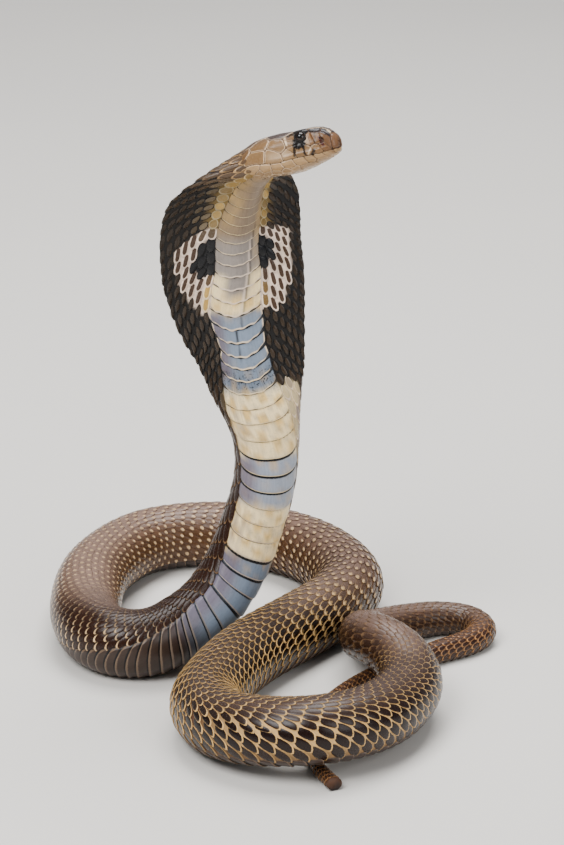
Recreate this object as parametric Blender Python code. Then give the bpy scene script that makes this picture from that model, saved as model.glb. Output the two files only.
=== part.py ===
"""A life-size spectacled cobra, reared up with its hood spread, its body coiled on the floor.

Metres, +Z up, the floor at z = 0. The body is one smooth tube along a hand-set route from the snout to
the tail tip, parted into lengths by thin gaps. The head rides on the front of that route. It and its
lower jaw are cut from one lofted form, and the eyes sit in sockets under the brow.
"""

import math

import bmesh
import bpy
import numpy as np
from mathutils import Matrix, Vector

MM = 0.001
GAP = 0.3 * MM                  # kept between pieces that touch
FLOOR_CENTRE = (-4.30, 85.9)       # route coordinates, mm, of the point that becomes the origin

# The route of the spine, in millimetres, from the snout to the tail tip. Each stop has its place, the
# half width and half height of the body there, and the direction of its back.
BODY_ROUTE = (
    # the head, held nearly level
    ((25.7, 62.0, 256.4), 10.0, 8.2, (-0.20, 0.33, 0.92)),
    ((13.3, 66.5, 252.1), 10.0, 8.2, (-0.20, 0.33, 0.92)),
    ((0.9, 71.0, 247.8), 10.5, 8.2, (-0.20, 0.33, 0.92)),
    # the neck turns down from the head into the hood
    ((-10.8, 75.3, 244.0), 12.6, 8.2, (-0.31, 0.36, 0.88)),
    ((-14.6, 77.7, 240.2), 20.0, 8.4, (-0.44, 0.56, 0.70)),
    ((-17.0, 79.8, 234.2), 28.5, 8.2, (-0.50, 0.74, 0.45)),
    ((-18.8, 81.6, 226.3), 31.8, 8.0, (-0.45, 0.87, 0.20)),
    # the spread hood
    ((-21.4, 84.0, 215.9), 32.4, 7.9, (-0.29, 0.95, 0.06)),
    ((-22.7, 86.5, 204.0), 32.6, 7.8, (-0.18, 0.98, 0.00)),
    ((-22.1, 88.5, 190.7), 32.6, 7.8, (-0.07, 1.00, 0.00)),
    ((-20.9, 90.5, 175.9), 31.8, 8.0, (0.08, 1.00, 0.00)),
    ((-18.6, 92.0, 162.5), 29.8, 8.4, (0.17, 0.98, 0.00)),
    ((-15.4, 93.0, 149.3), 26.8, 9.2, (0.23, 0.97, 0.00)),
    ((-12.3, 94.0, 134.5), 22.8, 10.4, (0.22, 0.97, 0.02)),
    # the reared forebody
    ((-9.0, 95.0, 121.0), 18.0, 11.8, (0.10, 0.99, 0.04)),
    ((-7.2, 96.0, 108.0), 15.4, 12.8, (-0.05, 0.99, 0.06)),
    ((-7.1, 97.0, 95.0), 14.7, 13.3, (-0.14, 0.98, 0.08)),
    ((-9.0, 98.5, 80.5), 14.6, 13.6, (-0.20, 0.97, 0.14)),
    ((-13.5, 99.5, 64.8), 14.9, 13.9, (-0.24, 0.94, 0.24)),
    ((-19.1, 98.0, 48.6), 15.3, 14.2, (-0.27, 0.90, 0.35)),
    ((-26.5, 94.5, 35.4), 15.6, 14.6, (-0.28, 0.86, 0.43)),
    ((-35.3, 88.0, 26.0), 15.9, 15.0, (-0.22, 0.82, 0.53)),
    ((-47.2, 80.0, 19.6), 16.2, 15.4, (-0.08, 0.78, 0.62)),
    # the left bend of the rear loop, its belly turned out and then down
    ((-61.0, 73.0, 15.5), 16.4, 15.8, (0.10, 0.72, 0.69)),
    ((-75.0, 73.8, 15.1), 16.6, 16.0, (0.34, 0.56, 0.76)),
    ((-86.0, 84.5, 15.1), 16.8, 16.0, (0.38, 0.28, 0.88)),
    ((-91.6, 101.5, 15.1), 17.0, 16.0, (0.26, 0.08, 0.96)),
    ((-93.0, 122.0, 15.0), 17.0, 15.9, (0.10, 0.02, 0.99)),
    ((-86.3, 170.0, 14.9), 16.8, 15.8, (0.0, 0.0, 1.0)),
    ((-65.5, 201.0, 14.9), 16.6, 15.8, (0.0, 0.0, 1.0)),
    # the rear loop behind the forebody, and its right bend
    ((-33.3, 210.2, 14.9), 16.4, 15.8, (0.0, 0.0, 1.0)),
    ((4.0, 196.8, 15.0), 16.5, 15.9, (0.0, 0.0, 1.0)),
    ((24.5, 171.0, 15.2), 16.8, 16.1, (0.0, 0.0, 1.0)),
    ((32.2, 142.0, 15.3), 16.8, 16.2, (0.0, 0.0, 1.0)),
    # the length that crosses in front, down to the front left bend
    ((23.4, 115.6, 15.3), 16.2, 16.2, (0.0, 0.0, 1.0)),
    ((6.8, 91.4, 15.3), 15.9, 16.2, (0.0, 0.0, 1.0)),
    ((-13.6, 62.8, 15.2), 15.9, 16.2, (0.0, 0.0, 1.0)),
    ((-27.6, 32.6, 15.1), 16.0, 16.0, (0.0, 0.0, 1.0)),
    ((-34.2, 5.3, 15.0), 16.2, 15.8, (0.0, 0.0, 1.0)),
    # the front length, arched over the tail
    ((-26.2, -19.5, 17.2), 16.2, 15.4, (0.0, 0.0, 1.0)),
    ((-9.5, -33.6, 20.2), 16.1, 15.2, (0.0, 0.0, 1.0)),
    ((12.1, -37.5, 22.1), 16.0, 15.0, (0.0, 0.0, 1.0)),
    ((34.0, -24.6, 20.2), 15.9, 15.0, (0.0, 0.0, 1.0)),
    ((50.5, 0.5, 17.2), 15.6, 14.8, (0.0, 0.0, 1.0)),
    # the inner loop, lifted over the tail base and turned back
    ((57.6, 25.5, 17.2), 14.9, 14.2, (0.0, 0.0, 1.0)),
    ((53.4, 45.5, 20.6), 13.8, 13.2, (0.0, 0.0, 1.0)),
    ((44.6, 57.0, 23.0), 12.8, 12.4, (0.0, 0.0, 1.0)),
    ((37.4, 73.5, 18.8), 11.8, 11.5, (0.0, 0.0, 1.0)),
    ((42.6, 95.0, 11.4), 10.6, 10.4, (0.0, 0.0, 1.0)),
    ((58.5, 111.5, 8.7), 9.4, 9.2, (0.0, 0.0, 1.0)),
    # the tail, looped back under the body to its tip
    ((76.0, 120.5, 7.4), 8.3, 8.1, (0.0, 0.0, 1.0)),
    ((89.5, 119.3, 6.6), 7.6, 7.3, (0.0, 0.0, 1.0)),
    ((95.0, 107.8, 6.1), 7.1, 6.8, (0.0, 0.0, 1.0)),
    ((88.0, 96.0, 5.6), 6.6, 6.3, (0.0, 0.0, 1.0)),
    ((73.7, 86.4, 5.1), 6.0, 5.8, (0.0, 0.0, 1.0)),
    ((57.0, 74.0, 4.4), 5.1, 4.9, (0.0, 0.0, 1.0)),
    ((34.5, 53.0, 3.6), 4.3, 4.1, (0.0, 0.0, 1.0)),
    ((19.8, 29.0, 3.2), 3.9, 3.7, (0.0, 0.0, 1.0)),
    ((13.6, -2.3, 2.9), 3.7, 3.4, (0.0, 0.0, 1.0)),
    ((15.5, -34.0, 2.8), 3.5, 3.3, (0.0, 0.0, 1.0)),
    ((23.2, -53.0, 3.2), 3.9, 3.4, (0.0, 0.0, 1.0)),
)
ROUTE_STEP = 1.0                # mm between samples of the route
ROUTE_EASE = 4.0                # mm, how far each bend is evened out

# The hood: where its wings begin, are full and end, in mm behind the nape.
HOOD_FULL = (18.0, 100.0)
HOOD_ENDS = (-4.0, 132.0)
WING_THICK = 2.3                # half thickness of a wing at its root
CORE_WIDTH = 11.5               # half width of the throat column between the wings
WING_LIFT = 4.5                 # how far the wings stand toward the back
WING_CURL = 2.0                 # how far a wing's edge curls forward

# Belly scutes: the half breadth of one at stops behind the nape, and their spacing.
SCUTE_STOPS = (0.0, 50.0, 90.0, 135.0, 300.0, 950.0, 1215.0)
SCUTE_HALF = (8.5, 10.5, 12.5, 15.0, 16.5, 11.0, 3.0)
SCUTE_STEP = 7.6
SCUTE_RISE = 0.9                # height of a scute's free rear edge
SCUTE_LIP = 0.7                 # length of the drop behind it

# The lengths that the body is parted into: name, end in mm behind the nape, sides of the section.
LENGTHS = (
    ("hood", 112.0, 36),
    ("forebody", 182.0, 24),
    ("forebody_base", 256.0, 24),
    ("coil_left_bend", 338.0, 22),
    ("coil_left_back", 436.0, 20),
    ("coil_back", 522.0, 20),
    ("coil_right_bend", 604.0, 20),
    ("coil_cross", 690.0, 20),
    ("coil_front_left_bend", 752.0, 20),
    ("coil_front", 832.0, 20),
    ("coil_front_right_bend", 892.0, 20),
    ("coil_inner_bend", 962.0, 18),
    ("tail_base", 1012.0, 16),
    ("tail_bend", 1056.0, 14),
    ("tail_crossing", 1132.0, 12),
    ("tail_tip", None, 12),
)
SCUTED = ("hood", "forebody", "forebody_base", "coil_left_bend")
BELLY_SHARE = 8                 # sides of a section that lie across a scute
RING_SPACING = (1.5, 0.5)       # mm plus a share of the half width

# The head, in its own frame: x back from the snout tip, y to its left, z up from the mouth's base line.
HEAD_LENGTH = 41.5
HEAD_AT = (0.0, 0.32, 1.2, 2.6, 4.5, 7.0, 10.0, 14.5, 20.0, 26.0, 32.0, 37.5, 41.5)
HEAD_HALF_WIDTH = (0.0, 2.4, 4.0, 5.2, 6.3, 7.3, 8.2, 9.4, 11.2, 12.8, 13.4, 13.1, 12.6)
HEAD_TOP = (2.0, 3.6, 5.0, 6.6, 8.2, 9.5, 10.1, 10.2, 10.3, 10.6, 10.3, 9.6, 8.7)
HEAD_BOTTOM = (-0.6, -1.9, -2.9, -3.6, -4.3, -5.1, -5.9, -6.9, -7.8, -7.9, -7.6, -7.5, -7.7)
MOUTH_AT = (-6.0, 1.0, 8.0, 14.0, 20.0, 25.0, 30.0, 36.0)
MOUTH_LINE = (-1.3, -1.4, -2.2, -2.2, -2.2, -2.7, -2.4, -1.0)
MOUTH_CORNER = 34.5
HEAD_BOX = 2.7                  # how square the head's section is, 2 being an ellipse
HEAD_RINGS = 38
HEAD_SIDES = 44

EYE_AT = (15.0, 7.2, 6.6)       # centre of the left eye in the head's frame
EYE_RADIUS = 2.4
NOSTRIL_AT = (4.8, 5.7, 5.5)
NOSTRIL_RADIUS = 0.8

# Swells and hollows of the head's side: station, height, rise, and spread along and up.
BROW_SHIELD = (14.6, 9.3, 1.9, 3.6, 1.3)
EYE_HOLLOW = (15.0, 6.4, -0.6, 2.8, 2.0)
LORE_HOLLOW = (9.6, 5.2, -0.6, 2.4, 2.2)
NASAL_SWELL = (4.6, 5.4, 0.35, 1.6, 1.8)
JAW_MUSCLE = (27.0, 4.6, 0.5, 5.0, 3.4)
LIP_RISE = 0.4                  # swell of each lip
LIP_OFF = 1.5                   # its distance from the mouth line
LIP_SPREAD = 0.9
JAW_INSET = 0.35                # how far the lower lip lies inside the upper

# name, colour, roughness
SKIN_COLOURS = {
    "head": ((0.33, 0.24, 0.15), 0.42),
    "jaw": ((0.52, 0.43, 0.30), 0.45),
    "eye": ((0.015, 0.012, 0.010), 0.08),
    "hood": ((0.09, 0.07, 0.055), 0.45),
    "forebody": ((0.42, 0.43, 0.42), 0.38),
    "coil": ((0.17, 0.12, 0.08), 0.45),
    "tail": ((0.22, 0.15, 0.09), 0.48),
}


def unit(rows):
    """Rows of vectors, each made one long."""
    return rows / np.linalg.norm(rows, axis=-1, keepdims=True)


def spline_rows(rows, knots, at):
    """Catmull-Rom curve through rows at their knots, read at the given values."""
    slopes = np.gradient(rows, knots, axis=0)
    seg = np.clip(np.searchsorted(knots, at, side="right") - 1, 0, len(knots) - 2)
    span = (knots[seg + 1] - knots[seg])[:, None]
    t = ((at - knots[seg]) / span[:, 0])[:, None]
    start, end = rows[seg], rows[seg + 1]
    out, back = slopes[seg] * span, slopes[seg + 1] * span
    return (start * (1 + 2 * t) * (1 - t) ** 2 + out * t * (1 - t) ** 2
            + end * t * t * (3 - 2 * t) + back * t * t * (t - 1))


def eased(rows, reach):
    """Rows smoothed along their length, with both ends held."""
    half = int(3 * reach / ROUTE_STEP)
    offsets = np.arange(-half, half + 1)
    weights = np.exp(-0.5 * (offsets * ROUTE_STEP / reach) ** 2)
    weights /= weights.sum()
    head = 2 * rows[0] - rows[half:0:-1]
    tail = 2 * rows[-1] - rows[-2:-half - 2:-1]
    padded = np.concatenate([head, rows, tail])
    return sum(w * padded[i:i + len(rows)] for i, w in enumerate(weights))


def sampled_route():
    """The body's spine at even steps: distance, place, half width, half height, back and left."""
    places = np.array([stop[0] for stop in BODY_ROUTE])
    places[:, :2] -= FLOOR_CENTRE
    sizes = np.array([stop[1:3] for stop in BODY_ROUTE])
    backs = np.array([stop[3] for stop in BODY_ROUTE])
    knots = np.concatenate([[0.0], np.cumsum(np.linalg.norm(np.diff(places, axis=0), axis=1))])
    rows = spline_rows(np.hstack([places, sizes, backs]), knots, np.arange(0, knots[-1], 0.25))
    along = np.concatenate([[0.0], np.cumsum(np.linalg.norm(np.diff(rows[:, :3], axis=0), axis=1))])
    steps = np.arange(0.0, along[-1], ROUTE_STEP)
    rows = np.stack([np.interp(steps, along, column) for column in rows.T], axis=1)
    rows = eased(rows, ROUTE_EASE)
    place = rows[:, :3]
    ahead = unit(np.gradient(place, axis=0))
    back = rows[:, 5:8]
    back = unit(back - ahead * (back * ahead).sum(1, keepdims=True))
    left = np.cross(ahead, back)
    return {"at": steps - HEAD_LENGTH, "place": place, "half_width": rows[:, 3], "half_height": rows[:, 4],
            "back": back, "left": left}


def ramp(value, low, high):
    """0 below low, 1 above high, and a smooth rise between them."""
    t = np.clip((value - low) / (high - low), 0.0, 1.0)
    return t * t * (3 - 2 * t)


def hood_share(at):
    """How far the hood is spread at a distance behind the nape, 0 to 1."""
    return ramp(at, HOOD_ENDS[0], HOOD_FULL[0]) * (1 - ramp(at, HOOD_FULL[1], HOOD_ENDS[1]))


def section(route, at, samples=240):
    """Closed outline of the body at one distance, from the belly's midline up its left side."""
    pick = {key: np.array([np.interp(at, route["at"], column) for column in np.atleast_2d(value.T)])
            for key, value in route.items() if key != "at"}
    width, height = pick["half_width"][0], pick["half_height"][0]
    hood = hood_share(at)
    turn = np.linspace(0, 2 * math.pi, samples, endpoint=False)
    across = width * np.sin(turn)
    wing = height + (WING_THICK - height) * hood
    core = (height - wing) * np.exp(-(across / CORE_WIDTH) ** 2)
    up = -np.cos(turn) * (wing + core) - WING_CURL * hood * (across / width) ** 2
    up = up + WING_LIFT * hood * (1 - np.exp(-(across / CORE_WIDTH) ** 2))
    left, back = unit(pick["left"]), unit(pick["back"])
    points = pick["place"] + across[:, None] * left + up[:, None] * back
    return points, -back


def ring_points(route, at, sides, scute_rise):
    """One ring of the body: even steps across the belly scute, and even steps over the rest."""
    points, belly = section(route, at)
    steps = np.linalg.norm(np.diff(np.vstack([points, points[:1]]), axis=0), axis=1)
    along = np.concatenate([[0.0], np.cumsum(steps)])
    closed = np.vstack([points, points[:1]])
    half = np.interp(at, SCUTE_STOPS, SCUTE_HALF)
    girth = along[-1]
    across = np.linspace(-half, half, BELLY_SHARE + 1)
    rest = np.linspace(half, girth - half, sides - BELLY_SHARE + 1)[1:-1]
    wanted = np.concatenate([across, rest]) % girth
    ring = np.stack([np.interp(wanted, along, column) for column in closed.T], axis=1)
    crown = 1 - np.clip(np.abs(np.concatenate([across, np.full(len(rest), half)])) / half, 0, 1) ** 6
    ring += belly * (scute_rise * crown)[:, None]
    ring[:, 2] = np.maximum(ring[:, 2], 0.0)
    return ring * MM


def stations(route, start, end, scuted):
    """Distances of a length's rings, each with the rise of its scutes there."""
    rings = []
    if scuted:
        edge = (math.floor(start / SCUTE_STEP) + 1) * SCUTE_STEP
        share = 1 - (edge - start) / SCUTE_STEP
        rings.append((start, SCUTE_RISE * share))
        while edge < end - SCUTE_LIP:
            if edge > start + SCUTE_LIP:
                rings.append((edge, SCUTE_RISE))
            rings.append((edge + SCUTE_LIP, 0.0))
            edge += SCUTE_STEP
        share = 1 - (edge - end) / SCUTE_STEP
        rings.append((end, SCUTE_RISE * min(share, 1.0)))
        return [ring for i, ring in enumerate(rings) if i == 0 or ring[0] - rings[i - 1][0] > 0.4]
    at = start
    while at < end:
        rings.append((at, 0.0))
        at += RING_SPACING[0] + RING_SPACING[1] * np.interp(at, route["at"], route["half_width"])
    if end - rings[-1][0] < 2.0:
        rings.pop()
    rings.append((end, 0.0))
    return rings


def loft(name, rings, colour, tip=None):
    """A closed body through rings of points, with flat ends, or a point at its last end."""
    form = bmesh.new()
    loops = [[form.verts.new(point) for point in ring] for ring in rings]
    sides = len(loops[0])
    for front, rear in zip(loops, loops[1:]):
        for i in range(sides):
            j = (i + 1) % sides
            form.faces.new((front[i], front[j], rear[j], rear[i]))
    form.faces.new(loops[0][::-1])
    if tip is None:
        form.faces.new(loops[-1])
    else:
        point = form.verts.new(tip)
        for i in range(sides):
            form.faces.new((loops[-1][i], loops[-1][(i + 1) % sides], point))
    bmesh.ops.recalc_face_normals(form, faces=form.faces)
    return finished(name, form, colour)


def finished(name, form, colour):
    """A bmesh as a named object with its material, smooth but for its sharp edges."""
    mesh = bpy.data.meshes.new(name)
    form.to_mesh(mesh)
    form.free()
    mesh.shade_smooth()
    mesh.set_sharp_from_angle(angle=math.radians(40))
    made = bpy.data.objects.new(name, mesh)
    bpy.context.scene.collection.objects.link(made)
    made.data.materials.append(skin_material(colour))
    return made


def skin_material(kind):
    """The Principled material of one kind of skin."""
    name = "skin_" + kind
    if name in bpy.data.materials:
        return bpy.data.materials[name]
    colour, roughness = SKIN_COLOURS[kind]
    material = bpy.data.materials.new(name)
    material.use_nodes = True
    shader = material.node_tree.nodes["Principled BSDF"]
    shader.inputs["Base Color"].default_value = (*colour, 1.0)
    shader.inputs["Roughness"].default_value = roughness
    shader.inputs["Metallic"].default_value = 0.0
    return material


def colour_of(name):
    """The kind of skin that a length of the body wears."""
    for kind in ("hood", "forebody", "coil", "tail"):
        if name.startswith(kind):
            return kind
    return "coil"


def make_body(route):
    """The body's lengths, each ending a thin gap before the next."""
    start = 0.0
    body_end = route["at"][-1]
    for name, end, sides in LENGTHS:
        half_gap = GAP / MM / 2
        last = end is None
        stop = body_end if last else end
        near = start + half_gap
        far = stop if last else stop - half_gap
        rings = [ring_points(route, at, sides, rise)
                 for at, rise in stations(route, near, far, name in SCUTED)]
        tip = None
        if last:
            ahead = route["place"][-1] - route["place"][-3]
            tip = (route["place"][-1] + unit(ahead) * route["half_width"][-1] * 0.8) * MM
        loft(name, rings, colour_of(name), tip)
        start = stop


def head_frame(route):
    """The matrix that places the head's frame: its snout tip, and its axes."""
    ahead = Vector(route["place"][0] - route["place"][20]).normalized()
    left = Vector(route["back"][0]).cross(ahead).normalized()
    up = ahead.cross(left)
    rows = (-ahead, left, up)
    turn = Matrix([[rows[column][row] for column in range(3)] for row in range(3)]).to_4x4()
    return Matrix.Translation(Vector(route["place"][0]) * MM) @ turn


def head_ring(route, at):
    """One section of the head, set across the route: a rounded box, wider over the brow."""
    width = np.interp(at, HEAD_AT, HEAD_HALF_WIDTH)
    top = np.interp(at, HEAD_AT, HEAD_TOP)
    bottom = np.interp(at, HEAD_AT, HEAD_BOTTOM)
    middle = (top + bottom) / 2
    turn = np.linspace(0, 2 * math.pi, HEAD_SIDES, endpoint=False)
    squareness = 2 / (2 + (HEAD_BOX - 2) * (1 - ramp(at, 32.0, HEAD_LENGTH)))
    side = width * np.sign(np.sin(turn)) * np.abs(np.sin(turn)) ** squareness
    rise = (top - middle) * np.sign(np.cos(turn)) * np.abs(np.cos(turn)) ** squareness
    height = middle + rise
    swell = np.zeros(len(turn))
    for station, level, amount, along, up in (
            BROW_SHIELD, EYE_HOLLOW, LORE_HOLLOW, NASAL_SWELL, JAW_MUSCLE):
        swell += amount * np.exp(-((at - station) / along) ** 2 - ((height - level) / up) ** 2)
    mouth = np.interp(at, MOUTH_AT, MOUTH_LINE)
    lips = ramp(at, 1.0, 4.0) * (1 - ramp(at, MOUTH_CORNER - 6, MOUTH_CORNER))
    for off in (LIP_OFF, -LIP_OFF):
        swell += LIP_RISE * lips * np.exp(-((height - mouth - off) / LIP_SPREAD) ** 2)
    swell -= JAW_INSET * lips * ramp(mouth - height, -0.2, 0.4)
    side = side + np.tanh(side) * swell
    centre, back, left = [
        np.array([np.interp(at - HEAD_LENGTH, route["at"], column) for column in route[key].T])
        for key in ("place", "back", "left")]
    return (centre + side[:, None] * unit(left) + height[:, None] * unit(back)) * MM


def make_head(route):
    """The head and its lower jaw, cut apart along the mouth, with eyes and nostrils."""
    place = head_frame(route)
    spread = np.linspace(0, 1, HEAD_RINGS) ** 1.5
    at = HEAD_AT[1] + spread * (HEAD_LENGTH - GAP / MM / 2 - HEAD_AT[1])
    rings = [head_ring(route, station) for station in at]
    nose = place @ (Vector((0.0, 0.0, (HEAD_TOP[0] + HEAD_BOTTOM[0]) / 2)) * MM)
    head = loft("head", rings[::-1], "head", tip=nose)
    jaw = loft("lower_jaw", rings[::-1], "jaw", tip=nose)
    cut(head, mouth_block("mouth_cutter_upper", GAP / 2), "DIFFERENCE")
    cut(jaw, mouth_block("mouth_cutter_lower", -GAP / 2), "INTERSECT")
    for side, name in ((1, "left"), (-1, "right")):
        centre = Vector((EYE_AT[0], side * EYE_AT[1], EYE_AT[2])) * MM
        ball("eye_" + name, centre, EYE_RADIUS * MM, 16, "eye")
        cut(head, ball("socket_cutter_" + name, centre, EYE_RADIUS * MM + GAP, 16, "eye"), "DIFFERENCE")
        nostril = Vector((NOSTRIL_AT[0], side * NOSTRIL_AT[1], NOSTRIL_AT[2])) * MM
        cut(head, ball("nostril_cutter_" + name, nostril, NOSTRIL_RADIUS * MM, 8, "eye"), "DIFFERENCE")
    for made in bpy.data.objects:
        if made.name.startswith("eye_") or "_cutter_" in made.name:
            made.matrix_world = place


def ball(name, centre, radius, segments, colour):
    """A sphere in the head's frame."""
    form = bmesh.new()
    bmesh.ops.create_uvsphere(form, u_segments=segments, v_segments=segments // 2 + 2, radius=radius,
                              matrix=Matrix.Translation(centre))
    return finished(name, form, colour)


def mouth_block(name, lift):
    """A block under the mouth line, up to the mouth's corner; lift widens or shrinks it."""
    form = bmesh.new()
    at = np.linspace(-6.0, MOUTH_CORNER + lift / MM, 16)
    line = np.interp(at, MOUTH_AT, MOUTH_LINE) + lift / MM
    wide, low = 20.0, -20.0
    columns = []
    for x, z in zip(at, line):
        corners = ((x, -wide, z), (x, wide, z), (x, wide, low), (x, -wide, low))
        columns.append([form.verts.new(Vector(corner) * MM) for corner in corners])
    for front, rear in zip(columns, columns[1:]):
        for i in range(4):
            j = (i + 1) % 4
            form.faces.new((front[i], front[j], rear[j], rear[i]))
    form.faces.new(columns[0][::-1])
    form.faces.new(columns[-1])
    bmesh.ops.recalc_face_normals(form, faces=form.faces)
    return finished(name, form, "jaw")


def cut(target, cutter, operation):
    """A Boolean on the target by a hidden cutter."""
    cutter.hide_render = True
    cutter.display_type = "WIRE"
    modifier = target.modifiers.new(cutter.name, "BOOLEAN")
    modifier.operation = operation
    modifier.solver = "EXACT"
    modifier.object = cutter


def main():
    for old in list(bpy.data.objects):
        bpy.data.objects.remove(old)
    route = sampled_route()
    make_body(route)
    make_head(route)


main()
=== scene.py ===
"""The looks of a life-size spectacled cobra, reared with its hood spread over a coiled body.

Laid out as a Blender add-on and run as a script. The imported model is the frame. One skin stands for
the flesh, and scales, belly plates and head shields lie on it as solid mesh. All of them are set on one
table of the body's surface, whose rows run from the snout to the tail tip and whose columns run round it.

Places on the body are given in mm: "at" is behind the nape, so that the head lies at negative values,
and "arc" is round the body from the back's midline, positive to the snake's left.
"""

import functools
import math

import bmesh
import bpy
import numpy as np
from bpy.props import FloatProperty, FloatVectorProperty, PointerProperty
from mathutils import Matrix, Vector


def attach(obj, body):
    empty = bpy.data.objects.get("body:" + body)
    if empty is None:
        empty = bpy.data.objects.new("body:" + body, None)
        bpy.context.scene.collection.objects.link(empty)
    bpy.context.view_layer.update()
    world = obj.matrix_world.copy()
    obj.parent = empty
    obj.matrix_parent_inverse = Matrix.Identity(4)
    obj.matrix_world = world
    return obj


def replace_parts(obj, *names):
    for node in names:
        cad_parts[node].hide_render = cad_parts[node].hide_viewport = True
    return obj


bl_info = {
    "name": "Spectacled cobra model",
    "version": (1, 0, 0),
    "blender": (4, 5, 0),
    "location": "3D Viewport > Sidebar > Cobra",
    "description": "Skin, scales, shields, eyes and stage of a life-size cobra model",
    "category": "Object",
}

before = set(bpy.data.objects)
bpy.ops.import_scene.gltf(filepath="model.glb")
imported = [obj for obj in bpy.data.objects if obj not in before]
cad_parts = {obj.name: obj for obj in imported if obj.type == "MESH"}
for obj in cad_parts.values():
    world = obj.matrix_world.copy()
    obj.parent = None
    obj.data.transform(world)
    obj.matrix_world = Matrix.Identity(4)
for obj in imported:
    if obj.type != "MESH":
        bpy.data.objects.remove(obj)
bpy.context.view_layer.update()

MM = 0.001
BODY = "root"


# The route and the shape of the body and the head, as in the part
FLOOR_CENTRE = (-4.30, 85.9)    # route coordinates, mm, of the point that becomes the origin
UP = (0.0, 0.0, 1.0)
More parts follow.
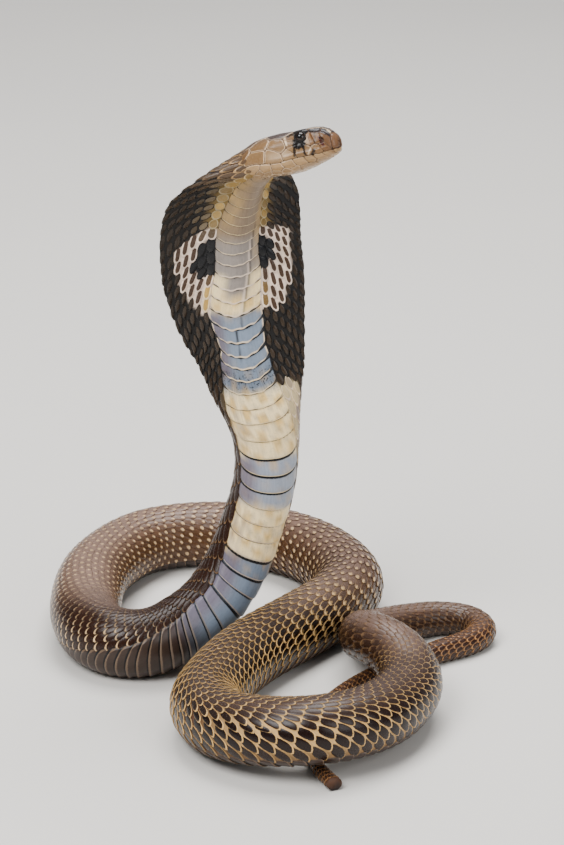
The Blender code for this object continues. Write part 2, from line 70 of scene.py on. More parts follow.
# Each stop: place, half width and half height in mm, and the direction of the back.
BODY_ROUTE = (
    # the head, held nearly level
    ((25.7, 62.0, 256.4), 10.0, 8.2, (-0.20, 0.33, 0.92)),
    ((13.3, 66.5, 252.1), 10.0, 8.2, (-0.20, 0.33, 0.92)),
    ((0.9, 71.0, 247.8), 10.5, 8.2, (-0.20, 0.33, 0.92)),
    # the neck turns down from the head into the hood
    ((-10.8, 75.3, 244.0), 12.6, 8.2, (-0.31, 0.36, 0.88)),
    ((-14.6, 77.7, 240.2), 20.0, 8.4, (-0.44, 0.56, 0.70)),
    ((-17.0, 79.8, 234.2), 28.5, 8.2, (-0.50, 0.74, 0.45)),
    ((-18.8, 81.6, 226.3), 31.8, 8.0, (-0.45, 0.87, 0.20)),
    # the spread hood
    ((-21.4, 84.0, 215.9), 32.4, 7.9, (-0.29, 0.95, 0.06)),
    ((-22.7, 86.5, 204.0), 32.6, 7.8, (-0.18, 0.98, 0.00)),
    ((-22.1, 88.5, 190.7), 32.6, 7.8, (-0.07, 1.00, 0.00)),
    ((-20.9, 90.5, 175.9), 31.8, 8.0, (0.08, 1.00, 0.00)),
    ((-18.6, 92.0, 162.5), 29.8, 8.4, (0.17, 0.98, 0.00)),
    ((-15.4, 93.0, 149.3), 26.8, 9.2, (0.23, 0.97, 0.00)),
    ((-12.3, 94.0, 134.5), 22.8, 10.4, (0.22, 0.97, 0.02)),
    # the reared forebody
    ((-9.0, 95.0, 121.0), 18.0, 11.8, (0.10, 0.99, 0.04)),
    ((-7.2, 96.0, 108.0), 15.4, 12.8, (-0.05, 0.99, 0.06)),
    ((-7.1, 97.0, 95.0), 14.7, 13.3, (-0.14, 0.98, 0.08)),
    ((-9.0, 98.5, 80.5), 14.6, 13.6, (-0.20, 0.97, 0.14)),
    ((-13.5, 99.5, 64.8), 14.9, 13.9, (-0.24, 0.94, 0.24)),
    ((-19.1, 98.0, 48.6), 15.3, 14.2, (-0.27, 0.90, 0.35)),
    ((-26.5, 94.5, 35.4), 15.6, 14.6, (-0.28, 0.86, 0.43)),
    ((-35.3, 88.0, 26.0), 15.9, 15.0, (-0.22, 0.82, 0.53)),
    ((-47.2, 80.0, 19.6), 16.2, 15.4, (-0.08, 0.78, 0.62)),
    # the left bend of the rear loop, its belly turned out and then down
    ((-61.0, 73.0, 15.5), 16.4, 15.8, (0.10, 0.72, 0.69)),
    ((-75.0, 73.8, 15.1), 16.6, 16.0, (0.34, 0.56, 0.76)),
    ((-86.0, 84.5, 15.1), 16.8, 16.0, (0.38, 0.28, 0.88)),
    ((-91.6, 101.5, 15.1), 17.0, 16.0, (0.26, 0.08, 0.96)),
    ((-93.0, 122.0, 15.0), 17.0, 15.9, (0.10, 0.02, 0.99)),
    ((-86.3, 170.0, 14.9), 16.8, 15.8, UP),
    ((-65.5, 201.0, 14.9), 16.6, 15.8, UP),
    # the rear loop behind the forebody, and its right bend
    ((-33.3, 210.2, 14.9), 16.4, 15.8, UP),
    ((4.0, 196.8, 15.0), 16.5, 15.9, UP),
    ((24.5, 171.0, 15.2), 16.8, 16.1, UP),
    ((32.2, 142.0, 15.3), 16.8, 16.2, UP),
    # the length that crosses in front, down to the front left bend
    ((23.4, 115.6, 15.3), 16.2, 16.2, UP),
    ((6.8, 91.4, 15.3), 15.9, 16.2, UP),
    ((-13.6, 62.8, 15.2), 15.9, 16.2, UP),
    ((-27.6, 32.6, 15.1), 16.0, 16.0, UP),
    ((-34.2, 5.3, 15.0), 16.2, 15.8, UP),
    # the front length, arched over the tail
    ((-26.2, -19.5, 17.2), 16.2, 15.4, UP),
    ((-9.5, -33.6, 20.2), 16.1, 15.2, UP),
    ((12.1, -37.5, 22.1), 16.0, 15.0, UP),
    ((34.0, -24.6, 20.2), 15.9, 15.0, UP),
    ((50.5, 0.5, 17.2), 15.6, 14.8, UP),
    # the inner loop, lifted over the tail base and turned back
    ((57.6, 25.5, 17.2), 14.9, 14.2, UP),
    ((53.4, 45.5, 20.6), 13.8, 13.2, UP),
    ((44.6, 57.0, 23.0), 12.8, 12.4, UP),
    ((37.4, 73.5, 18.8), 11.8, 11.5, UP),
    ((42.6, 95.0, 11.4), 10.6, 10.4, UP),
    ((58.5, 111.5, 8.7), 9.4, 9.2, UP),
    # the tail, looped back under the body to its tip
    ((76.0, 120.5, 7.4), 8.3, 8.1, UP),
    ((89.5, 119.3, 6.6), 7.6, 7.3, UP),
    ((95.0, 107.8, 6.1), 7.1, 6.8, UP),
    ((88.0, 96.0, 5.6), 6.6, 6.3, UP),
    ((73.7, 86.4, 5.1), 6.0, 5.8, UP),
    ((57.0, 74.0, 4.4), 5.1, 4.9, UP),
    ((34.5, 53.0, 3.6), 4.3, 4.1, UP),
    ((19.8, 29.0, 3.2), 3.9, 3.7, UP),
    ((13.6, -2.3, 2.9), 3.7, 3.4, UP),
    ((15.5, -34.0, 2.8), 3.5, 3.3, UP),
    ((23.2, -53.0, 3.2), 3.9, 3.4, UP),
)
ROUTE_FINE = 0.25               # mm between the first, uneven samples of the route
ROUTE_STEP = 1.0                # mm between its even samples
ROUTE_EASE = 4.0                # mm, how far each bend is evened out

# The hood: where its wings begin, are full and end, in mm behind the nape.
HOOD_FULL = (18.0, 100.0)
HOOD_ENDS = (-4.0, 132.0)
WING_THICK = 2.3                # half thickness of a wing at its root
CORE_WIDTH = 11.5               # half width of the throat column between the wings
WING_LIFT = 4.5                 # how far the wings stand toward the back
WING_CURL = 2.0                 # how far a wing's edge curls forward

# The head, in its own frame: x back from the snout tip, y to its left, z up from the mouth's base line.
HEAD_LENGTH = 41.5
HEAD_AT = (0.0, 0.32, 1.2, 2.6, 4.5, 7.0, 10.0, 14.5, 20.0, 26.0, 32.0, 37.5, 41.5)
HEAD_HALF_WIDTH = (0.0, 2.4, 4.0, 5.2, 6.3, 7.3, 8.2, 9.4, 11.2, 12.8, 13.4, 13.1, 12.6)
HEAD_TOP = (2.0, 3.6, 5.0, 6.6, 8.2, 9.5, 10.1, 10.2, 10.3, 10.6, 10.3, 9.6, 8.7)
HEAD_BOTTOM = (-0.6, -1.9, -2.9, -3.6, -4.3, -5.1, -5.9, -6.9, -7.8, -7.9, -7.6, -7.5, -7.7)
MOUTH_AT = (-6.0, 1.0, 8.0, 14.0, 20.0, 25.0, 30.0, 36.0)
MOUTH_LINE = (-1.3, -1.4, -2.2, -2.2, -2.2, -2.7, -2.4, -1.0)
MOUTH_CORNER = 34.5
HEAD_BOX = 2.7                  # how square the head's section is, 2 being an ellipse
HEAD_ROUNDED = 32.0             # mm behind the snout from where the section turns into an ellipse

EYE_AT = (15.0, 7.2, 6.6)       # centre of the left eye in the head's frame

# Swells and hollows of the head's side: station, height, rise, and spread along and up.
BROW_SHIELD = (14.6, 9.3, 1.9, 3.6, 1.3)
EYE_HOLLOW = (15.0, 6.4, -0.6, 2.8, 2.0)
LORE_HOLLOW = (9.6, 5.2, -0.6, 2.4, 2.2)
NASAL_SWELL = (4.6, 5.4, 0.35, 1.6, 1.8)
JAW_MUSCLE = (27.0, 4.6, 0.5, 5.0, 3.4)
LIP_RISE = 0.4                  # swell of each lip
LIP_OFF = 1.5                   # its distance from the mouth line
LIP_SPREAD = 0.9
JAW_INSET = 0.35                # how far the lower lip lies inside the upper

# The surface table
COLUMNS = 256                   # columns round the body
HALF_RING = 321                 # points of half a ring before they are set at even arcs
FIRST_ROW = 0.05                # mm behind the snout's tip
HEAD_ROW = 0.25                 # mm between rows of the head
BODY_ROW = 1.0                  # mm between rows of the body
NECK_BLEND = (-4.0, 6.0)        # where the head's section turns into the body's, mm behind the nape

# The belly plates are counted from the throat's end: number and mm behind the nape of its rear edge.
PLATE_COUNT = (
    (-10, -7.5), (-8, 2), (0, 40), (3, 57.5), (6, 76.5), (9, 97), (12, 115), (14, 129.5), (16, 147),
    (18, 163.5), (20, 181), (22, 200), (24, 218), (26, 236), (28, 250), (34, 271), (37, 280), (40, 289),
    (45, 306), (49, 324), (77, 500), (98, 650), (110, 724), (132, 850), (143, 915), (152, 965),
    (161, 1010), (173, 1060), (196, 1150), (214, 1208),
)
# Half width of the belly plates, and how far their midline stands off the belly's.
PLATE_HALF_WIDTH = (
    (-10, 7.5), (5, 9.0), (20, 10.8), (33, 11.8), (50, 11.5), (80, 14.6), (95, 13.0), (100, 14.5),
    (155, 16.0), (300, 16.5), (700, 16.5), (850, 15.0), (950, 11.0), (1010, 8.0), (1100, 5.4), (1215, 3.8),
)
PLATE_SHIFT = (
    (0, 0), (30, 2.4), (57, 2.6), (78, -1), (95, -1), (103, -2), (130, 0), (155, 0.7), (210, 0), (220, -1),
    (230, -4), (240, -7.5), (260, -7), (270, -3.5), (280, 0), (290, 2), (305, 2), (325, 0),
)
VENT_AT = 1010.0                # behind it the plates are paired

# The widths of the rows of scales on each side, as shares, from the back's midline outward.
ROW_WIDTHS = (1.0,) * 14 + (1.05, 1.15, 1.35)
# Some rows lie only on the hood, and some end toward the tail, in pairs: where each begins and ends.
ROW_SPANS = {
    3: (10.0, 140.0), 4: (10.0, 140.0), 6: (14.0, 128.0), 7: (14.0, 128.0), 9: (18.0, 118.0),
    10: (18.0, 118.0), 12: (-50.0, 790.0), 13: (-50.0, 750.0), 5: (-50.0, 985.0), 8: (-50.0, 985.0),
    1: (-50.0, 1060.0), 2: (-50.0, 1060.0),
}
WHOLE_BODY = (-50.0, 5000.0)    # the span of the others, past both ends
HOOD_ROWS = (3, 4, 6, 7, 9, 10)
ROW_FADE = 12.0                 # mm over which a row widens, or a row of the hood narrows away
TAIL_FADE = 34.0                # mm over which a row that ends behind the hood narrows away
OBLIQUE = (110.0, 210.0)        # where the rows' scales turn from half a step apart to nearly abreast
ABREAST = 0.16                  # steps between neighbouring rows behind it
STEADY_ROW = 11                 # the row that keeps its count


def unit(rows):
    return rows / np.linalg.norm(rows, axis=-1, keepdims=True)


def ramp(value, low, high):
    """0 below low, 1 above high, and a smooth step between."""
    t = np.clip((np.asarray(value, float) - low) / (high - low), 0.0, 1.0)
    return t * t * (3 - 2 * t)


def between(value, low, start, end, high):
    """1 from start to end, 0 below low and above high, and smooth steps between."""
    return ramp(value, low, start) * (1 - ramp(value, end, high))


def bump(value, middle, spread):
    return np.exp(-((value - middle) / spread) ** 2)


def read(stops, at):
    """The value at a place of a list of (place, value) stops."""
    places, values = zip(*stops)
    return np.interp(at, places, values)


def spline_rows(rows, knots, at):
    """The rows' values at each place, on smooth curves through the knots."""
    slopes = np.gradient(rows, knots, axis=0)
    part = np.clip(np.searchsorted(knots, at, side="right") - 1, 0, len(knots) - 2)
    span = (knots[part + 1] - knots[part])[:, None]
    t = ((at - knots[part]) / span[:, 0])[:, None]
    start, end = rows[part], rows[part + 1]
    leave, arrive = slopes[part] * span, slopes[part + 1] * span
    return (start * (1 + 2 * t) * (1 - t) ** 2 + leave * t * (1 - t) ** 2
            + end * t * t * (3 - 2 * t) + arrive * t * t * (t - 1))


def eased(rows, reach):
    """The rows evened out over a reach of the route, with both ends kept."""
    half = int(3 * reach / ROUTE_STEP)
    offsets = np.arange(-half, half + 1)
    weights = np.exp(-0.5 * (offsets * ROUTE_STEP / reach) ** 2)
    weights /= weights.sum()
    head = 2 * rows[0] - rows[half:0:-1]
    tail = 2 * rows[-1] - rows[-2:-half - 2:-1]
    padded = np.concatenate([head, rows, tail])
    return sum(weight * padded[i:i + len(rows)] for i, weight in enumerate(weights))


@functools.lru_cache(maxsize=1)
def spine():
    """The route of the spine at even steps: place, half width, half height, back and left."""
    places = np.array([stop[0] for stop in BODY_ROUTE])
    places[:, :2] -= FLOOR_CENTRE
    sizes = np.array([stop[1:3] for stop in BODY_ROUTE])
    backs = np.array([stop[3] for stop in BODY_ROUTE])
    lengths = np.linalg.norm(np.diff(places, axis=0), axis=1)
    knots = np.concatenate([[0.0], np.cumsum(lengths)])
    rows = spline_rows(np.hstack([places, sizes, backs]), knots, np.arange(0, knots[-1], ROUTE_FINE))
    lengths = np.linalg.norm(np.diff(rows[:, :3], axis=0), axis=1)
    along = np.concatenate([[0.0], np.cumsum(lengths)])
    steps = np.arange(0.0, along[-1], ROUTE_STEP)
    rows = eased(np.stack([np.interp(steps, along, column) for column in rows.T], axis=1), ROUTE_EASE)
    ahead = unit(np.gradient(rows[:, :3], axis=0))
    back = rows[:, 5:8]
    back = unit(back - ahead * (back * ahead).sum(1, keepdims=True))
    return {"at": steps - HEAD_LENGTH, "place": rows[:, :3], "half_width": rows[:, 3],
            "half_height": rows[:, 4], "back": back, "left": np.cross(ahead, back)}


def spine_at(at, name):
    route = spine()
    rows = route[name]
    if rows.ndim == 1:
        return np.interp(at, route["at"], rows)
    return np.stack([np.interp(at, route["at"], column) for column in rows.T], axis=-1)


def axes_at(at):
    """The spine's place, and its unit vectors toward the back and the left."""
    return spine_at(at, "place"), unit(spine_at(at, "back")), unit(spine_at(at, "left"))


def head_point(at, side, height):
    """The place, in mm, of a point of the head's own frame: back from the snout, left, and up."""
    place, back, left = axes_at(at - HEAD_LENGTH)
    return place + side * left + height * back


def body_rings(at, turn):
    """Rings of the body round the spine, each turn being an angle from the back's midline."""
    place, back, left = [rows[:, None] for rows in axes_at(at)]
    width, height = spine_at(at, "half_width")[:, None], spine_at(at, "half_height")[:, None]
    hood = between(at, HOOD_ENDS[0], *HOOD_FULL, HOOD_ENDS[1])[:, None]
    across = width * np.sin(turn)
    wing = height + (WING_THICK - height) * hood
    throat = np.exp(-(across / CORE_WIDTH) ** 2)
    up = np.cos(turn) * (wing + (height - wing) * throat) - WING_CURL * hood * (across / width) ** 2
    up = up + WING_LIFT * hood * (1 - throat)
    return place + across[..., None] * left + up[..., None] * back


def head_rings(at, turn):
    """Rings of the head, and the height of each of their points in the head's frame."""
    snout = at + HEAD_LENGTH
    width, top, bottom = [np.interp(snout, HEAD_AT, row)[:, None]
                          for row in (HEAD_HALF_WIDTH, HEAD_TOP, HEAD_BOTTOM)]
    middle = (top + bottom) / 2
    squareness = 2 / (2 + (HEAD_BOX - 2) * (1 - ramp(snout, HEAD_ROUNDED, HEAD_LENGTH)))[:, None]
    sine, cosine = np.sin(turn), np.cos(turn)
    side = width * np.sign(sine) * np.abs(sine) ** squareness
    height = middle + (top - middle) * np.sign(cosine) * np.abs(cosine) ** squareness
    swell = np.zeros_like(side)
    for station, level, amount, along, up in (
            BROW_SHIELD, EYE_HOLLOW, LORE_HOLLOW, NASAL_SWELL, JAW_MUSCLE):
        swell += amount * bump(snout[:, None], station, along) * bump(height, level, up)
    mouth = np.interp(snout, MOUTH_AT, MOUTH_LINE)[:, None]
    lips = between(snout, 1.0, 4.0, MOUTH_CORNER - 6, MOUTH_CORNER)[:, None]
    for off in (LIP_OFF, -LIP_OFF):
        swell += LIP_RISE * lips * bump(height, mouth + off, LIP_SPREAD)
    swell -= JAW_INSET * lips * ramp(mouth - height, -0.2, 0.4)
    side = side + np.tanh(side) * swell
    place, back, left = [rows[:, None] for rows in axes_at(at)]
    return place + side[..., None] * left + height[..., None] * back, height


class BodyTable:
    """The body's surface in mm: a row for each place along it, and columns at even arcs round it."""

    def __init__(self):
        end = spine()["at"][-1]
        self.at = np.concatenate([np.arange(-HEAD_LENGTH + FIRST_ROW, NECK_BLEND[1], HEAD_ROW),
                                  np.arange(NECK_BLEND[1], end, BODY_ROW)])
        turn = np.linspace(0.0, math.pi, HALF_RING)[None]
        share = np.linspace(0.0, 1.0, COLUMNS // 2 + 1)
        is_head = self.at <= NECK_BLEND[1]
        is_body = self.at >= NECK_BLEND[0]
        blend = ramp(self.at, *NECK_BLEND)[:, None, None]
        halves = []
        for side in (-1, 1):
            rings = np.zeros((len(self.at), COLUMNS // 2 + 1, 3))
            body, girth = self.even(body_rings(self.at[is_body], side * turn), share)
            rings[is_body] += body * blend[is_body]
            self.girth = np.zeros(len(self.at))
            self.girth[is_body] += girth * blend[is_body, 0, 0]
            head, heights = head_rings(self.at[is_head], side * turn)
            self.heights, _ = self.even(heights[..., None], share, head)
            head, girth = self.even(head, share)
            rings[is_head] += head * (1 - blend[is_head])
            self.girth[is_head] += girth * (1 - blend[is_head, 0, 0])
            halves.append(rings)
        self.points = np.concatenate([halves[0][:, :0:-1], halves[1]], axis=1)
        self.points[..., 2] = np.maximum(self.points[..., 2], 0.0)
        self.normals = self.outward()
        self.mouth = self.mouth_arcs()

    @staticmethod
    def even(values, share, rings=None):
        """Values of each ring at even arcs, and the length of each ring."""
        rings = values if rings is None else rings
        steps = np.linalg.norm(np.diff(rings, axis=1), axis=2)
        arcs = np.concatenate([np.zeros((len(rings), 1)), np.cumsum(steps, axis=1)], axis=1)
        spread = np.empty((len(rings), len(share), values.shape[2]))
        for row, arc in enumerate(arcs):
            for axis in range(values.shape[2]):
                spread[row, :, axis] = np.interp(share * arc[-1], arc, values[row, :, axis])
        return spread, arcs[:, -1]

    def outward(self):
        wrapped = np.concatenate([self.points[:, -2:-1], self.points, self.points[:, 1:2]], axis=1)
        round_body = wrapped[:, 2:] - wrapped[:, :-2]
        along = np.gradient(self.points, self.at, axis=0)
        normals = np.cross(round_body, along)
        return normals / np.maximum(np.linalg.norm(normals, axis=2, keepdims=True), 1e-9)

    def mouth_arcs(self):
        """The arc of the mouth line at each row of the head."""
        arcs = []
        for row, at in enumerate(self.at[:len(self.heights)]):
            level = np.interp(at + HEAD_LENGTH, MOUTH_AT, MOUTH_LINE)
            share = np.linspace(0.0, 1.0, COLUMNS // 2 + 1)
            arcs.append(np.interp(-level, -self.heights[row, :, 0], share * self.girth[row]))
        return np.array(arcs)

    def girth_at(self, at):
        """Half the way round the body, in mm."""
        return np.interp(at, self.at, self.girth)

    def mouth_at(self, at):
        return np.interp(at, self.at[:len(self.mouth)], self.mouth)

    def nearest(self, point, about):
        """The (at, arc) of what is nearest to a point on the left side, within 6 mm of a place along it."""
        rows = np.abs(self.at - about) < 6
        left = self.points[rows, COLUMNS // 2:]
        gaps = np.linalg.norm(left - point, axis=2)
        row, column = np.unravel_index(gaps.argmin(), gaps.shape)
        at = self.at[rows][row]
        return at, column / (COLUMNS / 2) * self.girth_at(at)

    def read(self, rows, at, arc):
        """The table's values, bilinear, at places given as at and arc."""
        at, arc = np.broadcast_arrays(np.asarray(at, float), np.asarray(arc, float))
        row = np.interp(at, self.at, np.arange(len(self.at)))
        low = np.minimum(row.astype(int), len(self.at) - 2)
        up = (row - low)[..., None]
        column = ((arc / self.girth_at(at) + 1) % 2) * COLUMNS / 2
        left = np.minimum(column.astype(int), COLUMNS - 1)
        over = (column - left)[..., None]
        near = rows[low, left] * (1 - over) + rows[low, left + 1] * over
        far = rows[low + 1, left] * (1 - over) + rows[low + 1, left + 1] * over
        return near * (1 - up) + far * up

    def place(self, at, arc, rise, floor=0.0):
        """Points, in metres, that stand off the surface by rise and no lower than the floor's height."""
        points = self.read(self.points, at, arc)
        points = points + self.read(self.normals, at, arc) * np.asarray(rise)[..., None]
        points[..., 2] = np.maximum(points[..., 2], floor)
        return points * MM


@functools.lru_cache(maxsize=1)
def table():
    return BodyTable()


def plate_edge(number):
    """Where a belly plate's rear edge lies, in mm behind the nape."""
    numbers, places = zip(*PLATE_COUNT)
    return np.interp(number, numbers, places)


def plate_number(at):
    """How many belly plates lie between the throat's end and a place."""
    numbers, places = zip(*PLATE_COUNT)
    return np.interp(at, places, numbers)


def belly_arc(at, across):
    """The arc of a place given by its way across from the belly plates' midline, positive to the left."""
    return table().girth_at(at) - across - read(PLATE_SHIFT, at)


def off_plates(at, arc):
    """How far a place lies outward from the edge of the belly plates, in mm."""
    shift = read(PLATE_SHIFT, at) * np.sign(arc)
    return table().girth_at(at) - np.abs(arc) - shift - read(PLATE_HALF_WIDTH, at)


# Colours, given as the 0 to 255 values of a screen
def screen(red, green, blue):
    """A screen colour as the linear values that the shaders take."""
    shares = [value / 255 for value in (red, green, blue)]
    return tuple(share / 12.92 if share <= 0.04045 else ((share + 0.055) / 1.055) ** 2.4 for share in shares)


def hue(label, description, *values):
    return FloatVectorProperty(name=label, description=description, default=screen(*values),
                               subtype="COLOR", size=3, min=0.0, max=1.0)


def length(label, description, millimetres):
    return FloatProperty(name=label, description=description, default=millimetres * MM, min=0.0,
                         subtype="DISTANCE", unit="LENGTH", precision=5)


class CobraSizes(bpy.types.PropertyGroup):
    """Depths and heights of what lies on the body."""

    skin_depth: length("Skin depth", "How far the skin lies inside the solids along the body", 0.45)
    head_depth: length("Head skin depth", "How far the skin lies inside the solids on the head", 0.32)
    scale_lift: length("Scale lift", "Most that a scale's free tip stands off the skin", 0.55)
    scale_thickness: length("Scale thickness", "Thickness of a scale at its free edge", 0.24)
    plate_lift: length("Plate lift", "How far a belly plate's free edge stands off the skin", 0.8)
    plate_thickness: length("Plate thickness", "Thickness of a belly plate", 0.3)
    shield_lift: length("Shield lift", "How far a head shield stands off the skin", 0.34)
    shield_gap: length("Shield gap", "Half the groove between two head shields", 0.11)
    eye_radius: length("Eye radius", "Radius of an eyeball", 2.36)
    mouth_groove: length("Mouth groove", "Depth of the line between the lips", 0.6)


class CobraColours(bpy.types.PropertyGroup):
    """The colours of the skin, the scales, the plates and the head."""

    skin_dark: hue("Skin", "Skin between the scales", 9, 6, 5)
    nape_scale: hue("Nape scales", "Scales behind the head", 80, 64, 50)
    hood_scale: hue("Hood scales", "Scales of the hood's wings", 50, 39, 28)
    hood_rim: hue("Hood scale rims", "Rims of the scales of the hood", 15, 11, 8)
    net_cell: hue("Net cells", "Scales inside the hood's pale net", 66, 48, 36)
    bright_plate: hue("Bright plates", "Plates of the band under the upper cream band", 150, 158, 172)
    olive_scale: hue("Throat scales", "Pale scales beside the throat", 112, 98, 76)
    flank_scale: hue("Flank scales", "Scales beside the belly of the forebody", 38, 19, 9)
    rear_scale: hue("Rear loop scales", "Scales of the loop behind the forebody", 76, 51, 32)
    cross_scale: hue("Crossing scales", "Scales of the length that crosses in front", 15, 5, 1)
    front_scale: hue("Front scales", "Scales of the front length", 22, 7, 4)
    inner_scale: hue("Inner loop scales", "Scales of the inner loop", 46, 28, 18)
    tail_scale: hue("Tail scales", "Scales of the tail", 36, 13, 4)
    golden: hue("Golden edge", "Edges of the scales of the front lengths", 204, 164, 104)
    dull_edge: hue("Dull edge", "Edges of the inner loop's scales", 116, 88, 60)
    tail_edge: hue("Tail edge", "Edges of the tail's scales", 160, 112, 66)
    pale_tip: hue("Pale tip", "Tips of the rear loop's scales", 206, 172, 128)
    coil_skin: hue("Coil skin", "Skin between the coils' scales", 74, 44, 24)
    net: hue("Hood net", "Pale skin round the hood's spots", 236, 214, 196)
    # black also fills the gaps before the plates: black skin, partly a painted shadow under the plate ahead
    black: hue("Black marks", "The hood's spots and the gaps of the plates", 8, 9, 14)
    throat: hue("Throat", "Plates of the throat", 128, 109, 88)
    grey_plate: hue("Grey plates", "Plates beside the spots", 140, 131, 124)
    blue_plate: hue("Blue-grey plates", "Plates of the dark bands", 124, 138, 156)
    violet: hue("Violet tinge", "Tinge of the dark bands", 104, 88, 100)
    cream_plate: hue("Cream plates", "Plates of the pale bands", 255, 230, 176)
    yellow_plate: hue("Yellow tinge", "Tinge of the pale bands", 224, 180, 92)
    brown_plate: hue("Brown plates", "Plates of the lower body", 56, 43, 36)
    plate_rim: hue("Plate rims", "Rims of the lower body's plates", 112, 92, 74)
    head_tan: hue("Head shields", "Shields of the head", 103, 76, 49)
    head_pale: hue("Pale shields", "Lips and the margins of the shields", 166, 132, 90)
    # the crown's own dark grey, partly a painted bluish sheen of the light from above
    crown_grey_and_sheen: hue("Crown sheen", "Grey-purple tinge of the crown", 50, 46, 50)
    # the shields' own pale margins; the same hue also paints highlights on the snout
    head_rim_and_highlight: hue("Shield rims", "Pale rims of the shields behind the eye", 226, 198, 164)
    head_gold: hue("Gold patch", "Patch between the eye and the nostril", 118, 76, 34)
    head_maroon: hue("Nostril mark", "Dark red mark at the nostril", 58, 14, 16)
    suture: hue("Sutures", "Skin between the head's shields", 64, 38, 22)
    # painted sheen: the greyer tinge along the loops' backs stands for the light from above
    top_sheen: hue("Top sheen", "Greyer tinge along the back of the loops", 136, 112, 100)
    head_rust: hue("Snout tip", "Rust tinge of the snout's tip", 106, 74, 52)
    head_dark: hue("Eye skin", "Dark skin round the eye and on the nape", 12, 6, 4)
    iris: hue("Iris", "The eye's dark iris", 30, 17, 9)
    floor: hue("Floor", "The studio floor", 222, 218, 212)


def hues():
    """The colours as arrays, by name."""
    colours = bpy.context.scene.cobra_colours
    return {name: np.array(getattr(colours, name)) for name in CobraColours.__annotations__}


def size(name):
    """A size in mm."""
    return getattr(bpy.context.scene.cobra_sizes, name) / MM


def skin_depth(at):
    return size("head_depth") + (size("skin_depth") - size("head_depth")) * ramp(at, -8.0, 4.0)


# Markings. Each stop holds a place, the hues of a scale, of its edge and of the skin beside it, the edge's
# width as a share of the scale's half width, how far the edge shrinks to a dot, and how far to a crescent.
COAT_STOPS = (
    (-8, "head_tan", "head_pale", "suture", 0.16, 0.0, 0.0),
    (0, "nape_scale", "head_pale", "suture", 0.2, 0.0, 0.0),
    (8, "nape_scale", "nape_scale", "skin_dark", 0.24, 0.0, 0.0),
    (16, "hood_scale", "hood_rim", "skin_dark", 0.3, 0.0, 0.0),
    (110, "hood_scale", "hood_rim", "skin_dark", 0.3, 0.0, 0.0),
    (140, "flank_scale", "dull_edge", "skin_dark", 0.1, 0.0, 0.6),
    (250, "flank_scale", "dull_edge", "skin_dark", 0.08, 0.0, 1.0),
    (280, "flank_scale", "pale_tip", "skin_dark", 0.22, 0.0, 1.0),
    (300, "flank_scale", "pale_tip", "skin_dark", 0.26, 0.0, 1.0),
    (330, "rear_scale", "pale_tip", "coil_skin", 0.26, 0.8, 1.0),
    (560, "rear_scale", "pale_tip", "coil_skin", 0.26, 1.0, 1.0),
    (610, "cross_scale", "golden", "coil_skin", 0.2, 0.4, 0.0),
    (640, "cross_scale", "golden", "coil_skin", 0.16, 0.0, 0.0),
    (740, "cross_scale", "golden", "coil_skin", 0.13, 0.0, 0.0),
    (765, "front_scale", "golden", "golden", 0.1, 0.0, 0.0),
    (860, "front_scale", "golden", "golden", 0.1, 0.0, 0.0),
    (885, "inner_scale", "dull_edge", "coil_skin", 0.14, 0.4, 0.0),
    (1000, "inner_scale", "dull_edge", "coil_skin", 0.2, 0.5, 0.0),
    (1022, "tail_scale", "tail_edge", "coil_skin", 0.24, 0.0, 0.3),
    (1210, "tail_scale", "tail_edge", "coil_skin", 0.24, 0.0, 0.3),
)
# The hues of the belly plates along the body, those of their rims, the width in mm of the dark gap
# before each plate, black skin and partly a painted shadow under the plate ahead, and that of the rim.
PLATE_STOPS = (
    (-10, "head_pale"), (2, "throat"), (35, "throat"), (41, "grey_plate"), (66, "grey_plate"),
    (71, "cream_plate"), (75.5, "cream_plate"), (77, "blue_plate"), (112, "blue_plate"),
    (117, "cream_plate"), (146, "cream_plate"), (148, "bright_plate"), (170, "bright_plate"),
    (173, "cream_plate"), (199, "cream_plate"), (201, "blue_plate"), (240, "blue_plate"),
    (256, "brown_plate"), (1215, "brown_plate"),
)
RIM_STOPS = (
    (-10, "throat"), (35, "cream_plate"), (60, "net"), (146, "cream_plate"), (200, "net"),
    (235, "grey_plate"), (265, "plate_rim"), (1215, "plate_rim"),
)
GAP_AND_SHADOW_STOPS = (
    (60, 0.25), (70, 0.25), (76, 0.55), (104, 0.55), (112, 0.3), (138, 0.25), (147, 1.3), (163.5, 1.3),
    (171.5, 0.25), (190, 0.25), (200, 1.5), (209.5, 1.4), (218, 0.6), (226.8, 1.4), (236, 0.6), (260, 0.35),
)
RIM_WIDTHS = ((0, 0.3), (40, 0.5), (60, 1.1), (104, 1.1), (120, 0.5), (200, 0.6), (250, 0.8), (1215, 0.5))
CREASE = ((30, 8.2), (45, 7.2), (57, 5.8), (76, 4.4))       # the fold of the throat's plates, in mm across
SEAM = ((76, 3.6), (83.5, 3.4), (84.5, 0.4), (97, 0.2))     # the dark stitches below it, in mm across
# How strongly the painted sheen of the light from above greys the back of the loops, along the body.
TOP_SHEEN = (
    (330, 0.6), (420, 0.6), (600, 0.5), (640, 0.2), (860, 0.2), (890, 0.5), (1000, 0.4), (1040, 0.1),
)

# How far outward from the plates the hood's pale net and its black spots reach, on each side, in mm.
FRONT_NETS = {
    -1: ((32, -9), (35, 3.3), (42, 11.3), (47, 18.3), (51, 19), (63, 16), (73, 9.5), (79, 3), (81, -9)),
    1: ((34, -9), (37, 14.3), (40, 15.5), (53, 14.8), (72, 11.5), (76, 9), (79, -9))}
FRONT_SPOTS = {
    -1: ((37, -9), (38.6, 0.5), (41, 4.5), (46, 7.5), (51.7, 12), (57, 10.5), (60, 5), (61.5, -9)),
    1: ((36.5, -9), (38.5, 2.5), (47, 7.3), (52, 6.8), (57, 3.5), (60, -9))}
